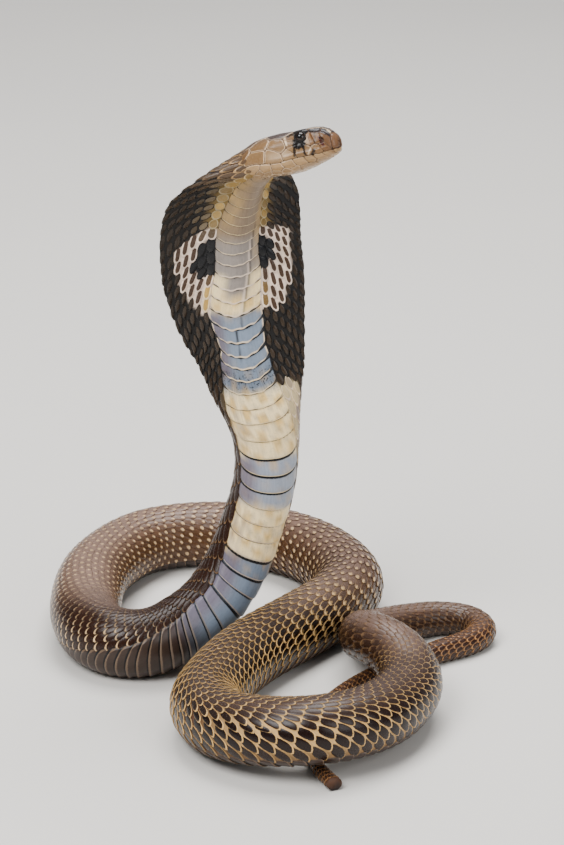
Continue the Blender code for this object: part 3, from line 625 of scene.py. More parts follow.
# The spectacle mark on the hood's back: the spots' place, arc and radius, and the place at the midline
# and the depth of the pale bow that joins them.
BACK_SPOT = (48.0, 13.0, 5.0)
BACK_BOW = (68.0, 14.0)


def stacked(*values):
    """Numbers or arrays as the last axis of one array."""
    return np.stack(np.broadcast_arrays(*values), axis=-1)


def mixed(base, colour, share):
    share = np.asarray(share, float)[..., None]
    return base * (1 - share) + colour * share


def within(limits, at, off, soft):
    """1 where a place lies nearer the plates than the limits along the body, 0 where it lies farther."""
    return 1 - ramp(off - read(limits, at), -soft, soft)


def hues_along(stops, at, column, palette):
    """The colour at a place of a list of stops that hold the hues' names."""
    rows = np.array([palette[stop[column]] for stop in stops])
    return stacked(*[np.interp(at, [stop[0] for stop in stops], values) for values in rows.T])


def spectacle(at, arc):
    """Shares of the pale mark and of its black spots and border on the hood's back."""
    spot_at, spot_arc, radius = BACK_SPOT
    gap = np.hypot(at - spot_at, np.abs(arc) - spot_arc)
    bow_middle, bow_depth = BACK_BOW
    bow_at = bow_middle - bow_depth * (arc / spot_arc) ** 2
    off_bow = np.abs(at - bow_at) / np.sqrt(1 + (2 * bow_depth * arc / spot_arc ** 2) ** 2)
    inside = (np.abs(arc) < spot_arc + 1.0) & (at > spot_at)
    ring = 1 - ramp(np.abs(gap - radius - 1.3), 1.0, 2.0)
    bow = np.where(inside, 1 - ramp(off_bow, 1.2, 2.2), 0.0)
    pale = np.maximum(ring, bow)
    spot = 1 - ramp(gap, radius - 1.0, radius + 0.4)
    border = np.where(inside, 1 - ramp(np.abs(off_bow - 3.4), 1.0, 2.4), 0.0)
    border = np.maximum(border, 1 - ramp(np.abs(gap - radius - 4.2), 1.0, 2.4))
    return pale, np.maximum(spot, border * (1 - pale))


def all_mixed(colours, colour, share):
    return [mixed(base, colour, share) for base in colours]


def coat_colours(at, arc, palette, soft=0.05):
    """Hues of a scale, its edge and the skin beside it, and the edge's width, dot and crescent."""
    at, arc = np.asarray(at, float), np.asarray(arc, float)
    inner, edge, skin = [hues_along(COAT_STOPS, at, column, palette) for column in (1, 2, 3)]
    width, dot, crescent = [read([(stop[0], stop[column]) for stop in COAT_STOPS], at)
                            for column in (4, 5, 6)]
    off = off_plates(at, arc)
    side = np.sign(arc)
    height = 1 - np.abs(arc) / table().girth_at(at)
    # the loops are greyer along the back: a painted sheen of the light from above, with their edges muted
    # under it
    top = ramp(height, 0.62, 0.95) * ramp(at, 230, 330)
    inner = mixed(inner, palette["top_sheen"], read(TOP_SHEEN, at) * top)
    edge, skin = all_mixed((edge, skin), inner, 0.35 * top)
    # the rows beside the belly plates are greyer and have duller edges
    low = (1 - ramp(off, 1.5, 9.0)) * ramp(at, 560, 640)
    inner = mixed(inner, palette["brown_plate"], 0.3 * low)
    edge, skin = mixed(edge, palette["dull_edge"], 0.6 * low), mixed(skin, palette["coil_skin"], 0.7 * low)
    # the upper rows of the first bend hardly show their edges
    upper = ramp(height, 0.42, 0.62) * between(at, 225, 250, 300, 330)
    edge = mixed(edge, inner, 0.75 * upper)
    # nearly black skin and scales at the hood's outer rim
    rim = ramp(off, 10, 22) * between(at, 20, 40, 100, 124)
    inner, edge = mixed(inner, palette["skin_dark"], 0.5 * rim), mixed(edge, inner, 0.6 * rim)
    # the pale net on the hood's front
    net, spot = [np.where(side > 0, within(limits[1], at, off, soft), within(limits[-1], at, off, soft))
                 for limits in (FRONT_NETS, FRONT_SPOTS)]
    edge, skin = all_mixed((edge, skin), palette["net"], net)
    inner = mixed(inner, palette["net_cell"], net)
    width, crescent = width + 0.3 * net, crescent - 0.4 * net
    # pale and yellow scales beside the throat and the pale bands
    flank = (1 - ramp(off, 2.0, 4.5)) * between(at, 60, 64, 74, 78) * (0.5 - 0.3 * side)
    throat = (1 - ramp(off, 2.5, 5.0)) * (1 - ramp(at, 33, 38))
    olive = (1 - ramp(off, 8.0, 14.0)) * between(at, 4, 10, 34, 44) * (side < 0)
    reach = np.where(side > 0, 8.0, 0.5)
    band = between(at, 112, 118, 143, 150) * (1 - ramp(off, reach - 2.0, reach + 1.5))
    # a share from 0 to 1 that differs from scale to scale
    chance = np.modf(np.abs(np.sin(at * 12.9 + arc * 78.2)) * 437.5)[0]
    inner = mixed(inner, palette["olive_scale"], olive * (0.45 + 0.4 * chance))
    inner = mixed(inner, palette["yellow_plate"] * 0.8, np.maximum(flank, throat * (0.15 + 0.6 * chance)))
    inner = mixed(inner, palette["cream_plate"], band * (0.45 + 0.5 * chance))
    edge = mixed(edge, palette["cream_plate"], np.maximum(np.maximum(flank, 0.35 * throat), band))
    # the cream band's left side has violet patches and net-like edges
    left_band = 0.8 * band * (side > 0)
    inner = mixed(inner, palette["violet"], left_band * ramp(chance, 0.3, 0.5) * ramp(off, 0.5, 2.5))
    edge = mixed(edge, palette["net"], left_band)
    skin = mixed(skin, palette["cream_plate"], 0.7 * band)
    beside_throat = (1 - ramp(off, 3.5, 9.0)) * between(at, -2, 6, 33, 38)
    skin = mixed(skin, palette["yellow_plate"] * 0.28, 0.85 * beside_throat)
    # the black spots in the net, and the mark on the hood's back
    mark, dark = spectacle(at, arc)
    for hue_name, share in (("black", spot), ("net", mark), ("black", 0.9 * dark)):
        inner, edge, skin = all_mixed((inner, edge, skin), palette[hue_name], share)
    return inner, edge, skin, stacked(width, dot, crescent)


def plate_colours(at, across, palette):
    """Hues of the belly plates and of their rims."""
    plate, rim = hues_along(PLATE_STOPS, at, 1, palette), hues_along(RIM_STOPS, at, 1, palette)
    plate = mixed(plate, palette["cream_plate"], ramp(np.abs(across), 3.0, 9.0) * between(at, 54, 60, 72, 76))
    # yellow patches on the pale bands and the throat
    patches = 0.5 + 0.5 * np.sin(at * 0.42 + across * 0.25 + 1.0) * np.sin(across * 0.55 - at * 0.12)
    bands = bump(at, 131, 17) + bump(at, 186, 14)
    tinge = bands * 1.4 * ramp(patches, 0.5, 0.85) + bump(at, 72, 5) * (0.2 + 0.5 * ramp(patches, 0.4, 0.8))
    throat = 0.36 * bump(at, 18, 16) * ramp(-across, 1.0, 8.0) + 0.3 * ramp(across, 6, 10) * bump(at, 34, 26)
    tinge = tinge + throat * (0.5 + 0.5 * ramp(patches, 0.3, 0.7))
    plate = mixed(plate, palette["yellow_plate"], np.clip(tinge, 0, 0.75))
    # violet blots and streaks on the pale bands, and a violet right side of the dark ones
    streaks = 0.5 + 0.5 * np.sin(across * 3.1 + np.sin(across * 1.7) * 2.0)
    blots = 0.5 + 0.5 * np.sin(at * 0.9 - across * 0.45) * np.sin(across * 0.9 + at * 0.3 + 2.0)
    blue = between(at, 74, 80, 106, 112) + between(at, 144, 150, 240, 262)
    blue = blue * (1 - between(at, 168, 174, 196, 203))
    for share in (0.34 * bands * ramp(blots, 0.5, 0.8), bands * 0.55 * streaks * ramp(-across, 3.0, 13.0),
                  blue * 0.75 * ramp(-across, 3.0, 11.0)):
        plate = mixed(plate, palette["violet"], share)
    # the throat's fold, the pale line beside it, and the dark stitches below it
    crease = read(CREASE, at)
    fold = 0.7 * bump(across, crease, 0.5) * between(at, 28, 36, 75, 78)
    plate = mixed(plate, palette["net"], 0.6 * bump(across, crease - 1.2, 0.6) * between(at, 36, 44, 75, 78))
    stitch = bump(across, read(SEAM, at), 0.4 + 0.3 * np.sin(at * 2.1) ** 2)
    stitch = stitch * between(at, 76.5, 77.5, 97, 99) * (0.75 + 0.25 * np.sin(at * 5.0))
    plate = mixed(plate, palette["head_dark"], np.clip(fold + stitch, 0, 1))
    dark = 0.4 * between(at, 101, 107, 113, 117)
    return mixed(plate, palette["black"], dark * (0.3 + 0.7 * streaks)), rim


# Meshes
def add_piece(name, mesh, look):
    """Puts a finished mesh into the scene as a piece that rides on the model, with a named surface."""
    mesh.shade_smooth()
    mesh.materials.append(surface(look))
    piece = bpy.data.objects.new(name, mesh)
    bpy.context.scene.collection.objects.link(piece)
    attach(piece, BODY)
    return piece


def place_points(mesh, points):
    mesh.vertices.foreach_set("co", points.astype(np.float32).ravel())


def points_of(mesh):
    """A mesh's vertices, a row for each."""
    flat = np.empty(len(mesh.vertices) * 3)
    mesh.vertices.foreach_get("co", flat)
    return flat.reshape(-1, 3)


def corner_vertices(mesh):
    """The number of the vertex at each corner of the faces."""
    corners = np.empty(len(mesh.loops), np.int32)
    mesh.loops.foreach_get("vertex_index", corners)
    return corners


def store(mesh, name, values):
    """Keeps a colour or three numbers for each vertex."""
    if name in ("hue", "edge"):
        attribute = mesh.attributes.new(name, "FLOAT_COLOR", "POINT")
        values = np.hstack([values, np.ones((len(values), 1))])
        attribute.data.foreach_set("color", values.astype(np.float32).ravel())
        return
    attribute = mesh.attributes.new(name, "FLOAT_VECTOR", "POINT")
    attribute.data.foreach_set("vector", values.astype(np.float32).ravel())


def store_bake_map(mesh, places):
    """Keeps the bake's unwrap, given for each vertex or for each corner."""
    layer = mesh.uv_layers.new(name="OFBake")
    if len(places) == len(mesh.vertices):
        places = places[corner_vertices(mesh)]
    layer.data.foreach_set("uv", places.astype(np.float32).ravel())


def inset(share, margin=0.02):
    """A share of the unwrap's side, kept off its ends."""
    return margin + (1 - 2 * margin) * share


def repeated_mesh(name, points, faces):
    """One mesh of many like shapes: points for each copy, and the faces that every copy has."""
    copies, corners = points.shape[:2]
    loops = np.concatenate(faces)
    starts = np.cumsum([0] + [len(face) for face in faces[:-1]])
    copy = np.arange(copies)[:, None]
    mesh = bpy.data.meshes.new(name)
    mesh.vertices.add(copies * corners)
    place_points(mesh, points)
    mesh.loops.add(copies * len(loops))
    mesh.loops.foreach_set("vertex_index", (loops + copy * corners).astype(np.int32).ravel())
    mesh.polygons.add(copies * len(faces))
    mesh.polygons.foreach_set("loop_start", (starts + copy * len(loops)).astype(np.int32).ravel())
    mesh.update(calc_edges=True)
    mesh.validate()
    return mesh


def ring_faces(rings, around):
    """Faces of a domed shape made of rings: a bottom, bands between the rings, and a middle point."""
    faces = [list(range(around - 1, -1, -1))]
    for ring in range(rings - 1):
        for step in range(around):
            low, high = ring * around, (ring + 1) * around
            after = (step + 1) % around
            faces.append([low + step, low + after, high + after, high + step])
    top = (rings - 1) * around
    for step in range(around):
        faces.append([top + step, top + (step + 1) % around, rings * around])
    return faces


def sheet_faces(along, across):
    """Faces of a closed plate: a top and a bottom grid of points, joined along the rim."""
    faces = []
    bottom = along * across
    for row in range(along - 1):
        for step in range(across - 1):
            near, far = row * across + step, (row + 1) * across + step
            faces.append([near, near + 1, far + 1, far])
            faces.append([bottom + near, bottom + far, bottom + far + 1, bottom + near + 1])
    for step in range(across - 1):
        last = (along - 1) * across + step
        faces.append([step + 1, step, bottom + step, bottom + step + 1])
        faces.append([last, last + 1, bottom + last + 1, bottom + last])
    for row in range(along - 1):
        near, far = row * across, (row + 1) * across
        faces.append([near, far, bottom + far, bottom + near])
        near, far = near + across - 1, far + across - 1
        faces.append([far, near, bottom + near, bottom + far])
    return faces


# Materials
PUPIL = (0.004, 0.003, 0.003, 1)
EYE_COAT = {"Coat Weight": 0.3, "Coat Roughness": 0.03}
RELIEF_DEPTH = 0.0001           # m


class Wiring:
    """Short calls to set and join the nodes of one tree."""

    def __init__(self, tree):
        self.tree = tree

    def node(self, kind, **settings):
        node = self.tree.nodes.new(kind)
        for name, value in settings.items():
            setattr(node, name, value)
        return node

    def join(self, source, target):
        self.tree.links.new(source, target)

    def fill(self, node, values):
        for name, value in values.items():
            socket = node.inputs[name]
            if isinstance(value, bpy.types.NodeSocket):
                self.join(value, socket)
            else:
                socket.default_value = value

    def math(self, operation, first, second=0.0):
        node = self.node("ShaderNodeMath", operation=operation)
        self.fill(node, {0: first, 1: second})
        return node.outputs[0]

    def add(self, first, second):
        return self.math("ADD", first, second)

    def less(self, first, second):
        return self.math("SUBTRACT", first, second)

    def times(self, first, second):
        return self.math("MULTIPLY", first, second)

    def ramp(self, value, low, high):
        """0 below low, 1 above high, smooth between."""
        node = self.node("ShaderNodeMapRange", interpolation_type="SMOOTHSTEP")
        self.fill(node, {"Value": value, "From Min": low, "From Max": high})
        return node.outputs["Result"]

    def mix(self, share, first, second, blend="MIX"):
        node = self.node("ShaderNodeMix", data_type="RGBA", blend_type=blend)
        self.fill(node, {0: share, 6: first, 7: second})
        return node.outputs[2]

    def shaded(self, colour, shade):
        """A colour darkened or lightened by a number."""
        grey = self.node("ShaderNodeCombineColor")
        self.fill(grey, {"Red": shade, "Green": shade, "Blue": shade})
        return self.mix(1.0, colour, grey.outputs["Color"], "MULTIPLY")

    def noise(self, scale, detail=3.0, where=None):
        """A noise over the model, or over places of its own."""
        if where is None:
            where = self.node("ShaderNodeTexCoord").outputs["Object"]
        node = self.node("ShaderNodeTexNoise")
        self.fill(node, {"Vector": where, "Scale": scale, "Detail": detail})
        return node.outputs["Fac"]

    def split(self, vector):
        node = self.node("ShaderNodeSeparateXYZ")
        self.join(vector, node.inputs[0])
        return node.outputs


def surface_group(name, colours, vectors):
    """A new shader group that gives a surface's colour, roughness and height, its wiring and its inputs."""
    group = bpy.data.node_groups.new(name, "ShaderNodeTree")
    sockets = [(label, "INPUT", kind) for kind, labels in (("Color", colours), ("Vector", vectors))
               for label in labels]
    results = [("Colour", "OUTPUT", "Color"), ("Roughness", "OUTPUT", "Float"), ("Height", "OUTPUT", "Float")]
    for label, way, kind in sockets + results:
        group.interface.new_socket(label, in_out=way, socket_type="NodeSocket" + kind)
    return group, Wiring(group), group.nodes.new("NodeGroupInput").outputs


def finish_group(group, wire, colour, roughness, height):
    end = group.nodes.new("NodeGroupOutput")
    wire.fill(end, {"Colour": colour, "Roughness": roughness, "Height": height})
    return group


@functools.lru_cache(maxsize=None)
def scale_group():
    """Colour, roughness and height of a scale: a hue inside, another at its edge or tip, and a mottle."""
    group, wire, start = surface_group("Scale marks", ("Hue", "Edge"), ("Marks", "Style"))
    rim, tip, chance = wire.split(start["Marks"])
    width, dot, crescent = wire.split(start["Style"])
    ragged = wire.times(wire.less(wire.noise(1400.0, 2.0), 0.5), 0.14)
    rim = wire.add(rim, ragged)
    # the edge, wider toward the free tip, and left out at the root of a crescent
    at_tip = wire.add(1.2, wire.times(wire.math("MINIMUM", crescent, 0.0), 1.5))
    wider = wire.add(0.65, wire.times(wire.ramp(tip, 0.3, 1.0), at_tip))
    line = wire.less(1.0, wire.times(width, wider))
    edge = wire.ramp(rim, wire.less(line, 0.05), wire.add(line, 0.05))
    root = wire.times(wire.math("MAXIMUM", crescent, 0.0), wire.ramp(tip, 0.75, 0.3))
    edge = wire.times(edge, wire.less(1.0, root))
    # the dot near the tip that may take the edge's place
    beside = wire.less(wire.times(rim, rim), wire.times(tip, tip))
    beside = wire.math("SQRT", wire.math("MAXIMUM", beside, 0.0))
    ahead = wire.less(tip, 0.72)
    from_tip = wire.math("SQRT", wire.add(wire.times(beside, beside), wire.times(ahead, ahead)))
    from_tip = wire.add(wire.add(from_tip, ragged), wire.times(chance, 0.2))
    spot = wire.less(1.0, wire.ramp(from_tip, 0.34, 0.56))
    edge = wire.add(wire.times(edge, wire.less(1.0, dot)), wire.times(spot, dot))
    mottle = wire.noise(260.0, 5.0)
    tones = []
    for label, least, by_mottle, by_chance in (("Hue", 0.7, 0.4, 0.25), ("Edge", 0.6, 0.45, 0.4)):
        shade = wire.add(least, wire.times(mottle, by_mottle))
        tones.append(wire.shaded(start[label], wire.add(shade, wire.times(chance, by_chance))))
    return finish_group(group, wire, wire.mix(edge, *tones),
                        wire.add(0.16, wire.times(wire.noise(900.0, 3.0), 0.2)),
                        wire.add(wire.noise(5200.0, 2.0), wire.times(mottle, 0.6)))


def plate_group():
    """Colour of a belly plate: a dark gap in front, black skin and partly a painted shadow under the plate
    ahead, a pale rim behind, fine streaks and specks.
    """
    group, wire, start = surface_group("Plate marks", ("Hue", "Edge", "Gap and shadow"), ("Marks", "Style", "Place"))
    behind, before, chance = wire.split(start["Marks"])
    gap, rim, specks = wire.split(start["Style"])
    ragged = wire.times(wire.less(wire.noise(1100.0, 3.0), 0.5), 0.05)
    behind, before = wire.add(behind, ragged), wire.add(before, ragged)
    # the dark gap at the plate's front: black skin, partly a painted shadow under the plate ahead
    in_gap_and_shadow = wire.less(1.0, wire.ramp(behind, wire.less(gap, 0.02), wire.add(gap, 0.03)))
    on_rim = wire.less(1.0, wire.ramp(before, wire.times(rim, 0.6), rim))
    streak = wire.noise(1.0, 3.0, start["Place"])
    mottle = wire.noise(170.0, 6.0)
    shade = wire.add(wire.add(0.62, wire.times(mottle, 0.25)), wire.times(streak, 0.42))
    colour = wire.shaded(start["Hue"], wire.add(shade, wire.times(chance, 0.08)))
    speck = wire.times(wire.ramp(wire.noise(950.0, 4.0), 0.56, 0.64), specks)
    colour = wire.mix(speck, colour, start["Gap and shadow"])
    colour = wire.mix(wire.times(on_rim, 0.85), colour, start["Edge"])
    return finish_group(group, wire, wire.mix(in_gap_and_shadow, colour, start["Gap and shadow"]),
                        wire.add(0.24, wire.times(mottle, 0.24)), wire.add(wire.times(streak, 1.5), mottle))


def skin_group():
    """Colour and relief of bare skin: its own hue with fine folds."""
    group, wire, start = surface_group("Skin folds", ("Hue",), ())
    folds = wire.noise(900.0, 5.0)
    return finish_group(group, wire, wire.shaded(start["Hue"], wire.add(0.7, wire.times(folds, 0.5))),
                        wire.add(0.5, wire.times(folds, 0.25)), folds)


def eye_group():
    """The eye's colours by the way from its middle: pupil, iris and rim."""
    group, wire, start = surface_group("Eye rings", ("Iris",), ("Marks",))
    way = wire.split(start["Marks"])[0]
    fibres = wire.noise(2500.0, 4.0)
    iris = wire.shaded(start["Iris"], wire.add(0.6, wire.times(fibres, 0.9)))
    outside_pupil = wire.ramp(way, 0.34, 0.37)
    inside_rim = wire.less(1.0, wire.ramp(way, 0.62, 0.72))
    return finish_group(group, wire, wire.mix(wire.times(outside_pupil, inside_rim), PUPIL, iris),
                        wire.add(0.05, wire.times(fibres, 0.04)), fibres)


# Each surface's group, how glossy it is, the strength of its relief, and the group's fixed colours.
SURFACES = {
    "Scales": (scale_group, 0.26, 0.35, {}),
    "Belly plates": (plate_group, 0.28, 0.25, {"Gap and shadow": "black"}),
    "Skin": (skin_group, 0.35, 0.6, {}),
    "Head shields": (scale_group, 0.28, 0.2, {}),
    "Eye": (eye_group, 0.3, 0.02, {"Iris": "iris"}),
}


@functools.lru_cache(maxsize=None)
def surface(name):
    """A material whose colour, roughness and relief come from a group, fed by the mesh's attributes."""
    make_group, gloss, relief, fixed = SURFACES[name]
    material = bpy.data.materials.new(name)
    material.use_nodes = True
    wire = Wiring(material.node_tree)
    shader = material.node_tree.nodes["Principled BSDF"]
    marks = wire.node("ShaderNodeGroup", node_tree=make_group())
    for socket in marks.inputs:
        if socket.name in fixed:
            socket.default_value = (*hues()[fixed[socket.name]], 1.0)
        else:
            attribute = wire.node("ShaderNodeAttribute", attribute_name=socket.name.lower())
            wire.join(attribute.outputs["Color" if socket.type == "RGBA" else "Vector"], socket)
    bump_node = wire.node("ShaderNodeBump")
    wire.fill(bump_node, {"Strength": relief, "Distance": RELIEF_DEPTH, "Height": marks.outputs["Height"]})
    wire.fill(shader, {"Base Color": marks.outputs["Colour"], "Roughness": marks.outputs["Roughness"],
                       "Normal": bump_node.outputs["Normal"], "Specular IOR Level": gloss})
    if name == "Eye":
        wire.fill(shader, EYE_COAT)
    return material


# The skin
SKIN_SIDES = 96                 # faces round the body
SKIN_FLOOR = 0.35               # mm, how low the skin may lie over the floor
SKIN_STEPS = ((-41.4, 0.4), (-36.0, 0.5), (2.0, 1.0), (120.0, 2.2), (1000.0, 1.6))  # place, mm between rings
WELD = 2e-6                     # m, the points of the skin nearer than this become one
# The solids that the skin takes the place of.
FLESH_NODES = (
    "head", "lower_jaw", "hood", "forebody", "forebody_base", "coil_left_bend", "coil_left_back", "coil_back",
    "coil_right_bend", "coil_cross", "coil_front_left_bend", "coil_front", "coil_front_right_bend",
    "coil_inner_bend", "tail_base", "tail_bend", "tail_crossing", "tail_tip",
)
NOSTRIL = (5.6, 9.5, 0.62)      # mm behind the snout, arc, and radius
NOSTRIL_DEPTH = 0.9             # mm
MAP_FOLDS = 6                   # strips of the skin's unwrap


def skin_stations():
    """Where the skin's rings lie, closer on the head than on the body."""
    stations = [SKIN_STEPS[0][0]]
    end = table().at[-1]
    while stations[-1] < end:
        step = [gap for place, gap in SKIN_STEPS if place <= stations[-1] + 1e-6][-1]
        stations.append(min(stations[-1] + step, end))
    return np.array(stations)


def pressed_in(at, arc):
    """How far the skin is pressed in along the mouth line and at the nostrils."""
    snout = at + HEAD_LENGTH
    mouth = table().mouth_at(at)
    lips = between(snout, 0.6, 2.0, MOUTH_CORNER - 1, MOUTH_CORNER + 2)
    groove = size("mouth_groove") * lips * bump(np.abs(arc), mouth, 0.8)
    nostril_at, nostril_arc, radius = NOSTRIL
    gap = np.hypot(snout - nostril_at, np.abs(arc) - nostril_arc)
    return groove + NOSTRIL_DEPTH * np.exp(-(gap / radius) ** 2)


def skin_colours(at, arc, palette):
    """The skin's colour between the scales, between the belly plates and on the head."""
    skin = coat_colours(at, arc, palette, 0.8)[2]
    plain = plate_colours(at, np.zeros_like(at), palette)[0]
    belly = mixed(plain * 0.7, palette["black"], 0.6 * ramp(at, 2, 20))
    skin = mixed(skin, belly, 1 - ramp(off_plates(at, arc), -1.5, 0.5))
    head = head_skin_colours(at, arc, palette)
    return mixed(head, skin, ramp(at, -8.0, 0.0))


def head_skin_colours(at, arc, palette):
    """The grooves between the head's shields, paler under the mouth and dark round the eye and behind it."""
    snout = np.asarray(at) + HEAD_LENGTH
    eye_at, eye_arc = eye_spot()
    from_eye = np.hypot(snout - eye_at, np.abs(arc) - eye_arc)
    from_eye = np.minimum(from_eye, np.hypot(snout - eye_at - 0.8, np.abs(arc) - eye_arc - 5.0) + 1.5)
    lower = ramp(np.abs(arc) - table().mouth_at(at), 0.5, 1.5)
    suture = mixed(palette["suture"], palette["head_tan"], 0.7 * lower)
    return mixed(palette["head_dark"], suture, ramp(from_eye, 3.6, 5.0))


@functools.lru_cache(maxsize=1)
def eye_spot():
    """Where the eye's centre lies on the head's surface: mm behind the snout, and arc."""
    at, arc = table().nearest(head_point(*EYE_AT), EYE_AT[0] - HEAD_LENGTH)
    return at + HEAD_LENGTH, arc


def build_skin():
    """One skin from the snout to the tail tip, a grid moved onto the body and sewn along the belly."""
    body, palette = table(), hues()
    stations = skin_stations()
    mesh = bpy.data.meshes.new("skin")
    grid = bmesh.new()
    bmesh.ops.create_grid(grid, x_segments=len(stations) - 1, y_segments=SKIN_SIDES, size=1.0)
    grid.to_mesh(mesh)
    grid.free()
    flat = points_of(mesh)
    station = np.rint((flat[:, 0] + 1) / 2 * (len(stations) - 1)).astype(int)
    side = np.rint((flat[:, 1] + 1) / 2 * SKIN_SIDES).astype(int)
    at = stations[station]
    share = side / SKIN_SIDES * 2 - 1
    arc = share * body.girth_at(at) * (1 - 1e-9)
    rise = -skin_depth(at) - pressed_in(at, arc)
    place_points(mesh, body.place(at, arc, rise, floor=SKIN_FLOOR))
    store(mesh, "hue", skin_colours(at, arc, palette))
    corners = corner_vertices(mesh)
    first = station[corners].reshape(-1, 4).min(axis=1)
    fold_length = math.ceil(len(stations) / MAP_FOLDS)
    fold = np.repeat(first // fold_length, 4)
    along = (station[corners] - fold * fold_length) / fold_length
    across = (fold + inset(side[corners] / SKIN_SIDES, 0.04)) / MAP_FOLDS
    store_bake_map(mesh, stacked(inset(along), across))
    sewn = bmesh.new()
    sewn.from_mesh(mesh)
    bmesh.ops.remove_doubles(sewn, verts=sewn.verts, dist=WELD)
    bmesh.ops.holes_fill(sewn, edges=[edge for edge in sewn.edges if edge.is_boundary], sides=0)
    bmesh.ops.recalc_face_normals(sewn, faces=sewn.faces)
    sewn.to_mesh(mesh)
    sewn.free()
    return add_piece("skin", mesh, "Skin")


# The belly plates
PLATE_STEPS = 17                # points across a plate
THROAT_STEPS = 61               # points across a plate of the hood, whose markings are finer
# Rows of points from a plate's front to its rear: share of the way, and share of the lift.
PLATE_ROWS = ((0.0, -0.22), (0.08, -0.06), (0.3, 0.22), (0.6, 0.62), (0.88, 0.95), (0.97, 0.95), (1.0, 0.72))
THROAT_END = 138.0              # where the hood's plates end
FIRST_PLATE = -2.7              # where they begin
LAST_PLATE = 6.0                # mm before the tail's tip where the plates end
FULL_PLATE = 12.0               # mm, the half width below which plates grow flatter and thinner
PLATE_FLOORS = (0.06, 0.03)     # mm, how low a plate's top and bottom may lie over the floor
PLATE_OVERLAP = 1.1             # mm that a plate reaches forward under the one before it
PLATE_BOW = ((0, 1.3), (100, 1.8), (150, 3.0), (245, 3.0), (300, 2.0), (1000, 1.0))     # mm, ends ahead
STREAKS = (0.12, 1.1)           # streaks for each mm along and across a plate
MARK_UNIT = 10                  # mm that count as 1 in a plate's marks and style
# The part of the body that the plates' unwrap spans, in mm: ahead of the nape, in all, and across.
MAP_AHEAD, MAP_LENGTH, MAP_ACROSS = 45, 1270, 40


def plate_shapes(numbers, low, high, steps, palette, seed):
    """Points, colours and marks of plates that reach from low to high of the half width across."""
    chance = np.random.default_rng(seed).random((len(numbers), 4))
    rear = plate_edge(numbers)[:, None, None]
    front = plate_edge(numbers - 1)[:, None, None]
    way = np.array([row[0] for row in PLATE_ROWS])[None, :, None]
    lift = np.array([row[1] for row in PLATE_ROWS])[None, :, None]
    share = np.linspace(-1.0, 1.0, steps)[None, None]
    spot = low + (high - low) * (share + 1) / 2
    # the hood's plates have wavy rims, with corners drawn back
    waves = [0.3 * np.sin(rate * spot + 6.3 * chance[:, column, None, None])
             for column, rate in ((1, 6.0), (2, 15.0))]
    wave = sum(waves) * bump(rear, 85, 40)
    start = front - PLATE_OVERLAP
    corner = 1.6 * np.abs(spot) ** 6 * bump(rear, 90, 26) * way
    bow = read(PLATE_BOW, rear) * np.abs(spot) ** 3 + wave * way + corner
    at = start + (rear - start) * way - bow
    half = read(PLATE_HALF_WIDTH, at)
    across = spot * half * (1 - 0.06 * ramp(way, 0.85, 1.0))
    scale = np.minimum(half / FULL_PLATE, 1.0)
    rise = size("plate_lift") * lift * scale
    rise = rise * (1 - 0.55 * np.abs(share) ** 6)
    depth, arc = skin_depth(at), belly_arc(at, across)
    under = rise - size("plate_thickness") * scale
    sheets = [table().place(at, arc, height - depth, floor=floor)
              for height, floor in zip((rise, under), PLATE_FLOORS)]
    points = np.concatenate(sheets, axis=1).reshape(len(numbers), -1, 3)
    hue_rows, rim_rows = plate_colours(at, across, palette)
    behind = (at + bow - front) / MARK_UNIT
    # the rim runs round the ends of the plates near 90 mm and of those on the loops
    wrapped = (1 - ramp(np.abs(rear - 90), 14, 20)) + ramp(rear, 236, 250)
    end_gap = (1 - np.abs(spot)) * half * 0.8 + 0.35 + 3 * (1 - wrapped)
    before = np.minimum(rear - at - bow, end_gap) / MARK_UNIT
    marks = stacked(behind, before, chance[:, :1, None])
    specks = bump(at, 109, 5) * 0.9 + 0.1
    style = stacked(read(GAP_AND_SHADOW_STOPS, at) / MARK_UNIT, read(RIM_WIDTHS, at) / MARK_UNIT, specks)
    place = stacked(at * STREAKS[0], across * STREAKS[1], 20 * chance[:, 3:, None])
    chart = stacked(inset((at + MAP_AHEAD) / MAP_LENGTH), 0.5 + across / MAP_ACROSS)
    rows = [np.concatenate([values, values], axis=1).reshape(-1, values.shape[-1])
            for values in (hue_rows, rim_rows, marks, style, place, chart)]
    return points, rows


def finish_plates(name, sets, steps):
    """Joins sets of plate shapes into one piece."""
    points = np.concatenate([shapes for shapes, _ in sets])
    mesh = repeated_mesh(name, points, sheet_faces(len(PLATE_ROWS), steps))
    for index, label in enumerate(("hue", "edge", "marks", "style", "place")):
        store(mesh, label, np.concatenate([rows[index] for _, rows in sets]))
    store_bake_map(mesh, np.concatenate([rows[5] for _, rows in sets]))
    return add_piece(name, mesh, "Belly plates")


def build_plates():
    """The belly plates, one across the body to the vent, and pairs under the tail."""
    palette = hues()
    throat, vent, end = [math.floor(plate_number(at))
                         for at in (THROAT_END, VENT_AT, table().at[-1] - LAST_PLATE)]
    hood = np.arange(math.ceil(plate_number(FIRST_PLATE)), throat + 1, dtype=float)
    single = np.arange(throat + 1, vent + 1, dtype=float)
    paired = np.arange(vent + 1, end, dtype=float)
    finish_plates("belly_plates_hood", [plate_shapes(hood, -1.0, 1.0, THROAT_STEPS, palette, 10)],
                  THROAT_STEPS)
    finish_plates("belly_plates", [plate_shapes(single, -1.0, 1.0, PLATE_STEPS, palette, 11),
                                   plate_shapes(paired, 0.02, 1.0, PLATE_STEPS, palette, 12),
                                   plate_shapes(paired + 0.5, -1.0, -0.02, PLATE_STEPS, palette, 13)],
                  PLATE_STEPS)


# The scales
SCALE_POINTS = 14               # points round a scale
SCALE_RINGS = ((0.97, -1.0), (1.0, -0.3), (0.9, 0.0), (0.55, 0.12))     # share outward, and height
SCALE_MIDDLE = 0.2              # height of its middle point
